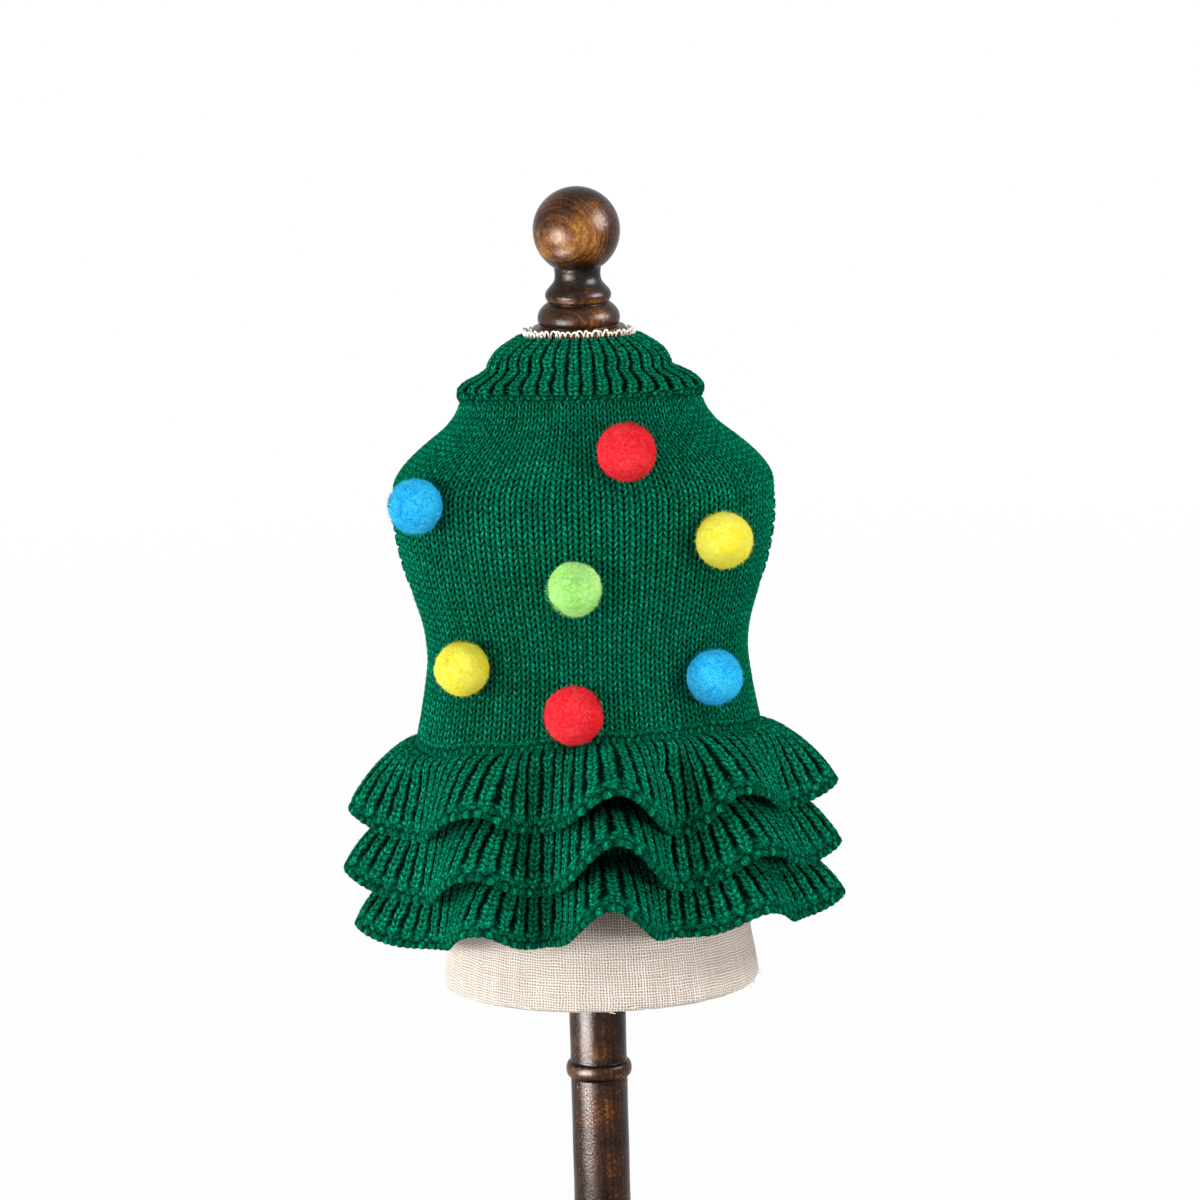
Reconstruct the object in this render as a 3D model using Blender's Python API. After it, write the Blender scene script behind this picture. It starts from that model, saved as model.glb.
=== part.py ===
"""Dog sweater dress worn by a small limbless dress form on a turned wooden stand.

The back of the dress, the side with the pom-poms, faces -Y and +X is to its right.
The origin is the middle of the stand base's underside. Sizes below are in millimetres,
and MM turns them into metres where a mesh is made.
"""
import math
from collections import namedtuple

import bpy
from mathutils import Vector

MM = 0.001

# ------------------------------------------------------------------ driving sizes
SEAM_GAP = 0.3            # between two pieces that are sewn or fitted together
BODY_WALL = 2.2           # stockinette and rib of the body
COLLAR_WALL = 3.0         # collar rib, a thicker fabric
TIER_WALL = 2.6           # ruffle rib
BASE_TUBE_WALL = 2.0      # plain tube that carries the two lower ruffles
BASE_TUBE_SLACK = 1.4     # the tube's top edge lies this far under the first ruffle
BASE_TUBE_TAIL = 12.0     # and its lower edge this far below the third ruffle's seam
EASE = 1.6                # air between the dress and the form

COLLAR_SEAM_HEIGHT = 420.0
COLLAR_SEAM_LIFT = 5.5    # the collar seam rises at the back of the dress, falls at the belly
COLLAR_TOP_HEIGHT = 448.2

SIDE_SEAM_ANGLE = 116.0   # from the middle of the back, so the side seams lie under the belly
SIDE_SEAM_CURVE = 60.0    # least radius of the body where its side seams run
LEG_HOLE_HEIGHT = 353.0
LEG_HOLE_HALF_HEIGHT = 31.0
LEG_HOLE_HALF_WIDTH = 20.0
LEG_BAND_RIM = 2.8        # how far the band reaches into the hole
LEG_BAND_PROUD = 3.6      # how far the band stands off the body

EDGE_DIP = 0.5            # the body's lower edge leans in, so its inner rim hangs this low
RIM_CLEARANCE = 1.2       # middle of a ruffle's rim to the plain tube: it is cut square, and leans
TIER_STEP = 25.5          # from one ruffle seam down to the next

FORM_BOTTOM = 150.0
FORM_TOP = 449.5
FORM_EDGE_RADIUS = 3.0
FORM_SHIFT = 2.5          # the form's foot sits a little to the right of its pole
FORM_SHIFT_REACH = 110.0  # height over which it comes back to the middle
FORM_TOP_ROUND = 1.2

POLE_RADIUS = 13.0
BEAD_FULLNESS = 0.75      # below 1 a bead is fuller than a half circle
POLE_TENON_RADIUS = 9.0
POLE_TENON_LENGTH = 26.0
FINIAL_DOWEL_RADIUS = 5.0
FINIAL_DOWEL_LENGTH = 17.0
BALL_RADIUS = 19.8
BALL_HEIGHT = 496.2

BASE_RADIUS = 95.0
BASE_HEIGHT = 20.0
BASE_RIM = 6.0            # radius of the rounded rim
BASE_TOP_RADIUS = 22.0    # flat land round the pole
BASE_TENON_DEPTH = 13.0

PANEL_STEP = 12.0         # angle of one face of a body panel
ROWS_BELOW_LEG_HOLE = (280.0, 293.0, 308.0)
ROWS_ABOVE_LEG_HOLE = (391.0, 399.0, 407.0)
LEG_BAND_STEPS = 16
POM_SEGMENTS = 14
POM_RINGS = 8
COLLAR_SEGMENTS = 28
RING_SEGMENTS = 36        # round the form and the plain tube
TURNED_SEGMENTS = 28      # round a turned wooden piece

# ------------------------------------------------------------------ tables
Section = namedtuple("Section", "height half_width half_depth")
BODY = [                  # outside of the sweater body
    Section(255, 80.0, 59.0),
    Section(266, 78.8, 58.0),
    Section(278, 76.4, 56.8),
    Section(291, 74.2, 55.4),
    Section(304, 73.0, 55.0),
    Section(318, 74.4, 55.4),
    Section(333, 78.7, 56.4),
    Section(348, 82.2, 57.4),
    Section(362, 84.9, 57.8),
    Section(375, 86.1, 57.4),
    Section(384, 85.6, 56.4),
    Section(392, 80.4, 54.4),
    Section(400, 71.8, 51.0),
    Section(408, 62.0, 46.8),
    Section(416, 56.2, 43.6),
    Section(426, 53.6, 41.4),
]

Share = namedtuple("Share", "up half_width half_depth")
COLLAR = [                # outside of the collar, from its seam to its lip
    Share(0.00, 54.0, 42.2),
    Share(0.09, 55.0, 43.2),
    Share(0.21, 54.6, 42.8),
    Share(0.33, 51.4, 40.4),
    Share(0.42, 45.8, 36.4),
    Share(0.50, 41.6, 33.6),
    Share(0.60, 40.6, 32.8),
    Share(0.72, 39.4, 31.8),
    Share(0.84, 36.0, 29.2),
    Share(0.94, 31.2, 25.8),
    Share(1.00, 25.6, 21.6),
]

FORM_FOOT = [             # outside of the linen form below the waist
    Section(153, 71.0, 65.8),
    Section(175, 71.2, 64.0),
    Section(195, 71.8, 62.2),
    Section(217, 72.6, 59.6),
    Section(241, 73.8, 56.6),
]
FORM_WAIST_HEIGHT = 266.0     # between these two heights the form follows the dress
FORM_SHOULDER_HEIGHT = 408.0
FORM_NECK = [
    Section(415, 48.0, 36.6),
    Section(422, 41.0, 32.4),
    Section(429, 32.0, 27.0),
    Section(435, 26.4, 22.6),
    Section(441, 24.2, 20.4),
    Section(448, 23.8, 20.0),
]

Fold = namedtuple("Fold", "angle flare length")
TIERS = {                 # angle round the dress, how far the strip swings out, its length
    "ruffle_tier_1": [
        Fold(-90, 50, 46.5), Fold(-61, 20, 42.5), Fold(-28.5, 56, 38.5), Fold(-15.5, 20, 40),
        Fold(6, 73, 42.5), Fold(26.5, 20, 43.5), Fold(36.5, 62, 42.5), Fold(67.5, 29, 42.5),
        Fold(90, 54, 45.5), Fold(117, 23, 42.5), Fold(146, 56, 42.5), Fold(171, 21, 42.5),
        Fold(197, 61, 42.5), Fold(234, 20, 42.5),
    ],
    "ruffle_tier_2": [
        Fold(-90, 49, 49), Fold(-60, 16, 42.5), Fold(-29.5, 50, 38.5), Fold(-15, 17, 39.5),
        Fold(5.4, 76, 40), Fold(26, 17, 42.5), Fold(42.5, 55, 42.5), Fold(71, 35, 44),
        Fold(90, 50, 46.5), Fold(118, 17, 42.5), Fold(144, 57, 42.5), Fold(170, 18, 42.5),
        Fold(199, 62, 42.5), Fold(233, 15, 42.5),
    ],
    "ruffle_tier_3": [
        Fold(-90, 47, 48), Fold(-57, 13, 37), Fold(-30, 49, 37.5), Fold(-15.5, 10, 37),
        Fold(3.5, 69, 39), Fold(24, 10, 38), Fold(45, 52, 42), Fold(68, 33, 42),
        Fold(90, 53, 47), Fold(120, 13, 40), Fold(147, 55, 41), Fold(172, 10, 39),
        Fold(197, 59, 41), Fold(232, 11, 40),
    ],
}
TIER_KNEE = {             # stretch over which a gathered strip turns down from its seam
    "ruffle_tier_1": 8.0,
    "ruffle_tier_2": 4.0,
    "ruffle_tier_3": 3.5,
}
SEAM_SWING = 88.0         # a gathered strip leaves its seam almost level
CREST_CURL = 36.0         # a crest leaves its seam this much flatter and ends this much steeper
VALLEY_FLARE = 20.0       # a fold that swings out no more than this hangs straight
CREST_RISE = 30.0         # and one that swings out this much more is a full crest
STRIP_STEPS = 60          # short steps that add up to a strip's curve
FOLD_STEPS = 4            # faces from one fold line to the next
TIER_ROWS = (0.0, 0.07, 0.17, 0.34, 0.56, 0.78, 1.0)

SeamPoint = namedtuple("SeamPoint", "angle height")
WAIST_SEAM = [            # the waist seam isn't level: it climbs over the middle of the back
    SeamPoint(-90, 264.0), SeamPoint(-62, 263.5), SeamPoint(-35, 268.0), SeamPoint(0, 273.0),
    SeamPoint(40, 274.0), SeamPoint(65, 271.5), SeamPoint(90, 268.5), SeamPoint(180, 266.0),
]

Pom = namedtuple("Pom", "colour across height diameter")
POMS = {                  # across is measured to the right of the middle, along X
    "pompom_red_upper": Pom("red", 19.8, 405.0, 26.4),
    "pompom_blue_left": Pom("blue", -75.4, 380.0, 25.0),
    "pompom_yellow_right": Pom("yellow", 62.4, 362.6, 25.8),
    "pompom_lime": Pom("lime", -5.0, 345.0, 24.6),
    "pompom_yellow_left": Pom("yellow", -56.5, 306.5, 24.6),
    "pompom_blue_right": Pom("blue", 56.7, 299.6, 25.4),
    "pompom_red_waist": Pom("red", -7.0, 287.5, 26.6),
}
POM_SEAT = 0.70           # share of the radius at which a pom-pom is pressed flat

Turn = namedtuple("Turn", "height radius")
Bead = namedtuple("Bead", "height reach half root")
FINIAL_BEADS = [          # each bead's middle, its radius, half its height, its groove's radius
    Bead(453.1, 21.8, 3.2, 19.0),
    Bead(460.3, 18.4, 3.4, 16.4),
    Bead(467.7, 14.8, 2.4, 12.6),
]
FINIAL_NECK = [
    Turn(471.8, 10.7),
    Turn(475.4, 10.0),
]
POLE_BEAD = Bead(108.0, 15.1, 3.6, POLE_RADIUS)
BALL_FOOT_RADIUS = 10.6
BALL_CROWN_RADIUS = 1.0

COLOURS = {               # base colour, roughness
    "green": ((0.005, 0.155, 0.075), 0.90),
    "red": ((0.80, 0.015, 0.035), 0.95),
    "blue": ((0.010, 0.24, 0.72), 0.95),
    "yellow": ((0.95, 0.68, 0.03), 0.95),
    "lime": ((0.25, 0.72, 0.12), 0.95),
    "linen": ((0.62, 0.50, 0.40), 0.92),
    "walnut": ((0.085, 0.040, 0.016), 0.28),
}


# ------------------------------------------------------------------ helpers
def clear_scene():
    for old in list(bpy.data.objects):
        bpy.data.objects.remove(old, do_unlink=True)


def paint(obj, colour):
    """Give a piece its own material."""
    base, roughness = COLOURS[colour]
    material = bpy.data.materials.new(obj.name + "_finish")
    material.use_nodes = True
    shader = material.node_tree.nodes["Principled BSDF"]
    shader.inputs["Base Color"].default_value = (*base, 1.0)
    shader.inputs["Roughness"].default_value = roughness
    shader.inputs["Metallic"].default_value = 0.0
    obj.data.materials.append(material)


def make_object(name, points, faces, colour):
    """Build a closed piece from points in millimetres."""
    mesh = bpy.data.meshes.new(name)
    mesh.from_pydata([Vector(p) * MM for p in points], [], faces)
    mesh.validate()
    mesh.shade_smooth()
    mesh.set_sharp_from_angle(angle=math.radians(40))
    obj = bpy.data.objects.new(name, mesh)
    bpy.context.scene.collection.objects.link(obj)
    paint(obj, colour)
    return obj


def ease(share):
    """0 to 1 with a level start and end."""
    share = min(max(share, 0.0), 1.0)
    return share * share * (3.0 - 2.0 * share)


def lookup(sections, height, size):
    """Smooth size at a height, through a table of sections that runs upwards."""
    height = min(max(height, sections[0].height), sections[-1].height)
    index = 0
    while index < len(sections) - 2 and sections[index + 1].height < height:
        index += 1
    low = sections[index]
    high = sections[index + 1]
    before = sections[max(index - 1, 0)]
    after = sections[min(index + 2, len(sections) - 1)]
    span = high.height - low.height
    share = (height - low.height) / span
    start = getattr(low, size)
    end = getattr(high, size)
    leave = (end - getattr(before, size)) / (high.height - before.height) * span
    arrive = (getattr(after, size) - start) / (after.height - low.height) * span
    square = share * share
    cube = square * share
    return (start * (2 * cube - 3 * square + 1) + leave * (cube - 2 * square + share)
            + end * (3 * square - 2 * cube) + arrive * (cube - square))


def round_table(table, angle, value):
    """Smooth value round a full turn, level at each row."""
    rows = sorted((row.angle % 360.0, getattr(row, value)) for row in table)
    rows.append((rows[0][0] + 360.0, rows[0][1]))
    turn = angle % 360.0
    if turn < rows[0][0]:
        turn += 360.0
    index = 0
    while rows[index + 1][0] < turn:
        index += 1
    (low, start), (high, end) = rows[index:index + 2]
    return start + (end - start) * (1.0 - math.cos(math.pi * (turn - low) / (high - low))) / 2.0


def oval(angle, height, half_width, half_depth, centre=0.0):
    """A point on a level oval: angle 0 is the middle of the back, 90 the right side."""
    turn = math.radians(angle)
    return Vector((centre + half_width * math.sin(turn), -half_depth * math.cos(turn), height))


def body_point(angle, height):
    return oval(angle, height, lookup(BODY, height, "half_width"),
                lookup(BODY, height, "half_depth"))


def body_normal(angle, height):
    """Outward direction of the sweater body's outside."""
    across = body_point(angle + 1.0, height) - body_point(angle - 1.0, height)
    up = body_point(angle, height + 1.0) - body_point(angle, height - 1.0)
    return across.cross(up).normalized()


def degree_length(angle, height):
    """Length of one degree round the body."""
    return (body_point(angle + 0.5, height) - body_point(angle - 0.5, height)).length


def waist_seam(angle):
    return round_table(WAIST_SEAM, angle, "height")


def collar_seam(angle):
    return COLLAR_SEAM_HEIGHT + COLLAR_SEAM_LIFT * math.cos(math.radians(angle))


def grid_normals(rows, closed):
    """Outward normals of a grid whose rows run round the dress towards +X over the back."""
    count = len(rows[0])
    normals = []
    for r, row in enumerate(rows):
        below = rows[max(r - 1, 0)]
        above = rows[min(r + 1, len(rows) - 1)]
        line = []
        for c in range(count):
            if closed:
                left = row[(c - 1) % count]
                right = row[(c + 1) % count]
            else:
                left = row[max(c - 1, 0)]
                right = row[min(c + 1, count - 1)]
            line.append((right - left).cross(above[c] - below[c]).normalized())
        normals.append(line)
    return normals


def cloth(name, rows, wall, closed, outside_given, normals=None, colour="green"):
    """A closed wall of cloth on a grid of points, rows running upwards.

    With outside_given the grid is the outer face, otherwise it is the middle of the wall.
    """
    count = len(rows[0])
    if normals is None:
        normals = grid_normals(rows, closed)
    outer_shift = 0.0 if outside_given else wall / 2.0
    points = []
    for shift in (outer_shift, outer_shift - wall):
        for row, line in zip(rows, normals):
            points.extend(p + n * shift for p, n in zip(row, line))
    layer = len(rows) * count
    columns = count if closed else count - 1
    faces = []
    for r in range(len(rows) - 1):
        for c in range(columns):
            a = r * count + c
            b = r * count + (c + 1) % count
            faces.append((a, b, b + count, a + count))
            faces.append((layer + a, layer + a + count, layer + b + count, layer + b))
    top = (len(rows) - 1) * count
    for c in range(columns):
        d = (c + 1) % count
        faces.append((c, layer + c, layer + d, d))
        faces.append((top + c, top + d, layer + top + d, layer + top + c))
    if not closed:
        for r in range(len(rows) - 1):
            a = r * count
            b = a + count
            faces.append((a, b, layer + b, layer + a))
            a += count - 1
            b += count - 1
            faces.append((a, layer + a, layer + b, b))
    return make_object(name, points, faces, colour)


def stack_of_rings(name, rings, segments, colour):
    """A closed solid through rings (height, half_width, half_depth, centre), in order.

    The first and the last ring are closed with a fan to their middles. The rings run up
    the outside, so a socket's rings come first or last, going out of it or into it.
    """
    points = []
    for height, half_width, half_depth, centre in rings:
        for step in range(segments):
            angle = 360.0 * step / segments
            points.append(oval(angle, height, half_width, half_depth, centre))
    faces = []
    for r in range(len(rings) - 1):
        for c in range(segments):
            a = r * segments + c
            b = r * segments + (c + 1) % segments
            faces.append((a, b, b + segments, a + segments))
    first = len(points)
    points.append(Vector((rings[0][3], 0.0, rings[0][0])))
    last = len(points)
    points.append(Vector((rings[-1][3], 0.0, rings[-1][0])))
    top = (len(rings) - 1) * segments
    for c in range(segments):
        d = (c + 1) % segments
        faces.append((first, d, c))
        faces.append((last, top + c, top + d))
    return make_object(name, points, faces, colour)


def turned(name, profile, colour="walnut"):
    """A piece turned on the Z axis, its profile read from the bottom up the outside."""
    rings = [(turn.height, turn.radius, turn.radius, 0.0) for turn in profile]
    return stack_of_rings(name, rings, TURNED_SEGMENTS, colour)


def bead(row, steps=5):
    """Profile of one round bead that swells from its groove to its full radius."""
    profile = []
    for step in range(steps + 1):
        angle = math.pi * (step / steps - 0.5)
        swell = math.cos(angle) ** BEAD_FULLNESS
        profile.append(Turn(row.height + row.half * math.sin(angle),
                            row.root + (row.reach - row.root) * swell))
    return profile


# ------------------------------------------------------------------ sweater body
def leg_hole_angle(height):
    """Half the angle that the leg hole takes out of the side seam at a height."""
    share = (height - LEG_HOLE_HEIGHT) / LEG_HOLE_HALF_HEIGHT
    if abs(share) >= 1.0:
        return 0.0
    half_width = LEG_HOLE_HALF_WIDTH * math.sqrt(1.0 - share * share)
    return half_width / degree_length(SIDE_SEAM_ANGLE, height)


def panel_heights():
    """Heights of a panel's inner rows: across the leg hole they match the band's corners."""
    rows = list(ROWS_BELOW_LEG_HOLE)
    quarter = LEG_BAND_STEPS // 4
    for step in range(-quarter, quarter + 1):
        turn = 2.0 * math.pi * step / LEG_BAND_STEPS
        rows.append(LEG_HOLE_HEIGHT + LEG_HOLE_HALF_HEIGHT * math.sin(turn))
    rows.extend(ROWS_ABOVE_LEG_HOLE)
    return rows


def body_panel(name, middle, half_angle):
    """One panel round its middle angle; the leg holes cut its edges back."""
    half_gap = math.degrees(SEAM_GAP / 2 / SIDE_SEAM_CURVE)
    columns = 2 * round(half_angle / PANEL_STEP)
    rows = []
    normals = []
    for level in ["waist"] + panel_heights() + ["collar"]:
        cut = 0.0 if isinstance(level, str) else leg_hole_angle(level)
        row = []
        line = []
        for step in range(columns + 1):
            share = 2.0 * step / columns - 1.0
            angle = middle + share * (half_angle - half_gap - cut)
            if level == "waist":
                height = waist_seam(angle) + SEAM_GAP / 2
            elif level == "collar":
                height = collar_seam(angle) - SEAM_GAP / 2
            else:
                height = level
            row.append(body_point(angle, height))
            line.append(body_normal(angle, height))
        rows.append(row)
        normals.append(line)
    return cloth(name, rows, BODY_WALL, False, True, normals)


def leg_band(name, side):
    """The ribbed band round one leg hole: a ring of square section standing off the body."""
    points = []
    outer = -SEAM_GAP
    inner = -SEAM_GAP - LEG_BAND_RIM
    for step in range(LEG_BAND_STEPS):
        turn = 2.0 * math.pi * step / LEG_BAND_STEPS
        for reach, lift in ((outer, -BODY_WALL), (outer, LEG_BAND_PROUD),
                            (inner, LEG_BAND_PROUD), (inner, -BODY_WALL)):
            height = LEG_HOLE_HEIGHT + (LEG_HOLE_HALF_HEIGHT + reach) * math.sin(turn)
            width = (LEG_HOLE_HALF_WIDTH + reach) * math.cos(turn)
            angle = side * (SIDE_SEAM_ANGLE + width / degree_length(SIDE_SEAM_ANGLE, height))
            points.append(body_point(angle, height) + body_normal(angle, height) * lift)
    faces = []
    for step in range(LEG_BAND_STEPS):
        here = 4 * step
        there = 4 * ((step + 1) % LEG_BAND_STEPS)
        for corner in range(4):
            after = (corner + 1) % 4
            quad = (here + corner, there + corner, there + after, here + after)
            faces.append(quad if side > 0 else quad[::-1])
    return make_object(name, points, faces, "green")


def make_body():
    body_panel("back_panel", 0.0, SIDE_SEAM_ANGLE)
    body_panel("belly_panel", 180.0, 180.0 - SIDE_SEAM_ANGLE)
    leg_band("leg_band_right", 1.0)
    leg_band("leg_band_left", -1.0)


def make_collar():
    rows = []
    for share in COLLAR:
        row = []
        for step in range(COLLAR_SEGMENTS):
            angle = 360.0 * step / COLLAR_SEGMENTS
            low = collar_seam(angle) + SEAM_GAP / 2
            height = low + (COLLAR_TOP_HEIGHT - low) * share.up
            row.append(oval(angle, height, share.half_width, share.half_depth))
        rows.append(row)
    return cloth("collar", rows, COLLAR_WALL, closed=True, outside_given=True)


# ------------------------------------------------------------------ skirt
def inside_body(height):
    """Section of the form under the sweater body, EASE clear of the cloth's inner face."""
    sizes = []
    for side in ("half_width", "half_depth"):
        slope = (lookup(BODY, height + 2.0, side) - lookup(BODY, height - 2.0, side)) / 4.0
        inset = (BODY_WALL + EASE) * math.hypot(1.0, slope)
        sizes.append(lookup(BODY, height, side) - inset)
    return Section(height, *sizes)


FORM = (FORM_FOOT
        + [inside_body(row.height) for row in BODY
           if FORM_WAIST_HEIGHT <= row.height <= FORM_SHOULDER_HEIGHT]
        + FORM_NECK)


def form_centre(height):
    return FORM_SHIFT * (1.0 - ease((height - FORM_BOTTOM) / FORM_SHIFT_REACH))


def form_point(angle, height, outwards=0.0):
    return oval(angle, height, lookup(FORM, height, "half_width") + outwards,
                lookup(FORM, height, "half_depth") + outwards, form_centre(height))


def tier_drop(tier):
    return TIER_STEP * (tier - 1)


def tier_start(tier, angle):
    """Middle of a ruffle's wall where it is sewn on."""
    height = waist_seam(angle) - SEAM_GAP - TIER_WALL / 2 - EDGE_DIP - tier_drop(tier)
    if tier == 1:
        return form_point(angle, height, EASE + BODY_WALL / 2)
    return form_point(angle, height, EASE + BASE_TUBE_WALL + RIM_CLEARANCE)


def tier_strip(name, tier, angle):
    """Points down a ruffle's wall at one angle: out from the seam, over the knee, down."""
    flare = round_table(TIERS[name], angle, "flare")
    length = round_table(TIERS[name], angle, "length")
    knee = TIER_KNEE[name]
    hang = flare - (SEAM_SWING - flare) * knee / (2.0 * length)
    curl = min(CREST_CURL * ease((flare - VALLEY_FLARE) / CREST_RISE), SEAM_SWING - hang)
    away = Vector((math.sin(math.radians(angle)), -math.cos(math.radians(angle)), 0.0))
    point = tier_start(tier, angle)
    points = []
    wanted = list(TIER_ROWS)
    for step in range(STRIP_STEPS + 1):
        along = step / STRIP_STEPS
        if wanted and along >= wanted[0] - 1e-6:
            points.append(point.copy())
            wanted.pop(0)
        swing = hang + curl * (1.0 - 2.0 * along)
        swing += (SEAM_SWING - swing) * (1.0 - ease(along * length / knee))
        turn = math.radians(swing)
        heading = away * math.sin(turn) - Vector((0.0, 0.0, math.cos(turn)))
        point = point + heading * (length / STRIP_STEPS)
    return points


def fold_angles(name):
    """Angles of a ruffle's columns: the fold lines, and even steps between them."""
    lines = [fold.angle for fold in TIERS[name]]
    lines.append(lines[0] + 360.0)
    angles = []
    for low, high in zip(lines, lines[1:]):
        angles.extend(low + (high - low) * step / FOLD_STEPS for step in range(FOLD_STEPS))
    return angles


def make_tiers():
    for tier, name in enumerate(TIERS, start=1):
        strips = [tier_strip(name, tier, angle) for angle in fold_angles(name)]
        rows = [[strip[level] for strip in strips] for level in range(len(TIER_ROWS))]
        rows.reverse()
        cloth(name, rows, TIER_WALL, closed=True, outside_given=False)


def make_skirt_base():
    """The plain tube under the ruffles, from the waist seam to just below the third one."""
    rows = []
    under_first_ruffle = 2 * SEAM_GAP + EDGE_DIP + TIER_WALL + BASE_TUBE_SLACK
    for drop in (tier_drop(3) + BASE_TUBE_TAIL, tier_drop(3), tier_drop(2), under_first_ruffle):
        row = []
        for step in range(RING_SEGMENTS):
            angle = 360.0 * step / RING_SEGMENTS
            row.append(form_point(angle, waist_seam(angle) - drop, EASE + BASE_TUBE_WALL))
        rows.append(row)
    return cloth("skirt_base", rows, BASE_TUBE_WALL, closed=True, outside_given=True)


# ------------------------------------------------------------------ pom-poms
def rise_under_seat(angle, height, reach):
    """How far the panel stands up past its tangent plane within reach of a seat."""
    seat = body_point(angle, height)
    normal = body_normal(angle, height)
    degree = degree_length(angle, height)
    rise = 0.0
    for step in range(12):
        turn = math.radians(30.0 * step)
        near = body_point(angle + reach * math.cos(turn) / degree,
                          height + reach * math.sin(turn))
        rise = max(rise, (near - seat).dot(normal))
    return rise


def pompom_place(pom, flat, seat_reach):
    """Middle of a pom-pom and the direction it stands off, its seat just clear of the knit."""
    across = pom.across
    height = pom.height
    for _ in range(8):
        angle = math.degrees(math.asin(across / lookup(BODY, height, "half_width")))
        normal = body_normal(angle, height)
        lift = flat + SEAM_GAP + rise_under_seat(angle, height, seat_reach)
        centre = body_point(angle, height) + normal * lift
        across += pom.across - centre.x
        height += pom.height - centre.z
    return centre, normal


def make_pompom(name, pom):
    """A ball of wool pressed flat where it is sewn to the back panel."""
    radius = pom.diameter / 2.0
    flat = POM_SEAT * radius
    centre, normal = pompom_place(pom, flat, radius * math.sqrt(1.0 - POM_SEAT ** 2))
    sideways = normal.cross(Vector((0, 0, 1))).normalized()
    upwards = sideways.cross(normal)
    points = [centre + normal * radius]
    for ring in range(1, POM_RINGS):
        tilt = math.pi * ring / POM_RINGS
        out = max(math.cos(tilt) * radius, -flat)
        reach = math.sin(tilt) * radius
        for step in range(POM_SEGMENTS):
            turn = 2.0 * math.pi * step / POM_SEGMENTS
            points.append(centre + normal * out
                          + (sideways * math.cos(turn) + upwards * math.sin(turn)) * reach)
    points.append(centre - normal * flat)
    faces = []
    last_ring = 1 + (POM_RINGS - 2) * POM_SEGMENTS
    for step in range(POM_SEGMENTS):
        after = (step + 1) % POM_SEGMENTS
        faces.append((0, 1 + after, 1 + step))
        for ring in range(POM_RINGS - 2):
            a = 1 + ring * POM_SEGMENTS + step
            b = 1 + ring * POM_SEGMENTS + after
            faces.append((b, b + POM_SEGMENTS, a + POM_SEGMENTS, a))
        faces.append((last_ring + step, last_ring + after, len(points) - 1))
    return make_object(name, points, faces, pom.colour)


def make_pompoms():
    for name, pom in POMS.items():
        make_pompom(name, pom)


# ------------------------------------------------------------------ form and stand
def make_form():
    """The linen body: a blind socket below for the pole, one above for the finial."""
    socket = POLE_TENON_RADIUS + SEAM_GAP
    top_socket = FINIAL_DOWEL_RADIUS + SEAM_GAP
    foot = FORM[0]
    neck = FORM[-1]
    rings = [
        (FORM_BOTTOM + POLE_TENON_LENGTH + SEAM_GAP, socket, socket, 0.0),
        (FORM_BOTTOM, socket, socket, 0.0),
    ]
    for step in range(3):
        turn = math.radians(45.0 * step)
        inset = FORM_EDGE_RADIUS * (1.0 - math.sin(turn))
        rise = FORM_EDGE_RADIUS * (1.0 - math.cos(turn))
        rings.append((FORM_BOTTOM + rise,
                      foot.half_width - inset, foot.half_depth - inset, FORM_SHIFT))
    for section in FORM[1:]:
        rings.append((section.height, section.half_width, section.half_depth,
                      form_centre(section.height)))
    rings.append((FORM_TOP, neck.half_width - FORM_TOP_ROUND,
                  neck.half_depth - FORM_TOP_ROUND, 0.0))
    rings.append((FORM_TOP, top_socket, top_socket, 0.0))
    rings.append((FORM_TOP - FINIAL_DOWEL_LENGTH - SEAM_GAP, top_socket, top_socket, 0.0))
    return stack_of_rings("dress_form", rings, RING_SEGMENTS, "linen")


def make_finial():
    """Dowel, three beads of falling size, a short neck and the ball."""
    seat = FORM_TOP + SEAM_GAP
    profile = [Turn(seat - FINIAL_DOWEL_LENGTH, FINIAL_DOWEL_RADIUS),
               Turn(seat, FINIAL_DOWEL_RADIUS)]
    for row in FINIAL_BEADS:
        profile.extend(bead(row))
    profile.extend(FINIAL_NECK)
    first = -math.acos(BALL_FOOT_RADIUS / BALL_RADIUS)
    steps = 12
    for step in range(steps):
        turn = first + (math.pi / 2 - first) * step / steps
        profile.append(Turn(BALL_HEIGHT + BALL_RADIUS * math.sin(turn),
                            BALL_RADIUS * math.cos(turn)))
    profile.append(Turn(BALL_HEIGHT + BALL_RADIUS, BALL_CROWN_RADIUS))
    return turned("neck_finial", profile)


def make_pole():
    """The round pole with its one bead and a tenon at each end."""
    low = BASE_HEIGHT + SEAM_GAP
    high = FORM_BOTTOM - SEAM_GAP
    profile = [Turn(low - BASE_TENON_DEPTH, POLE_TENON_RADIUS),
               Turn(low, POLE_TENON_RADIUS),
               Turn(low, POLE_RADIUS)]
    profile.extend(bead(POLE_BEAD))
    profile.extend([Turn(high, POLE_RADIUS),
                    Turn(high, POLE_TENON_RADIUS),
                    Turn(high + POLE_TENON_LENGTH, POLE_TENON_RADIUS)])
    return turned("stand_pole", profile)


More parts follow.
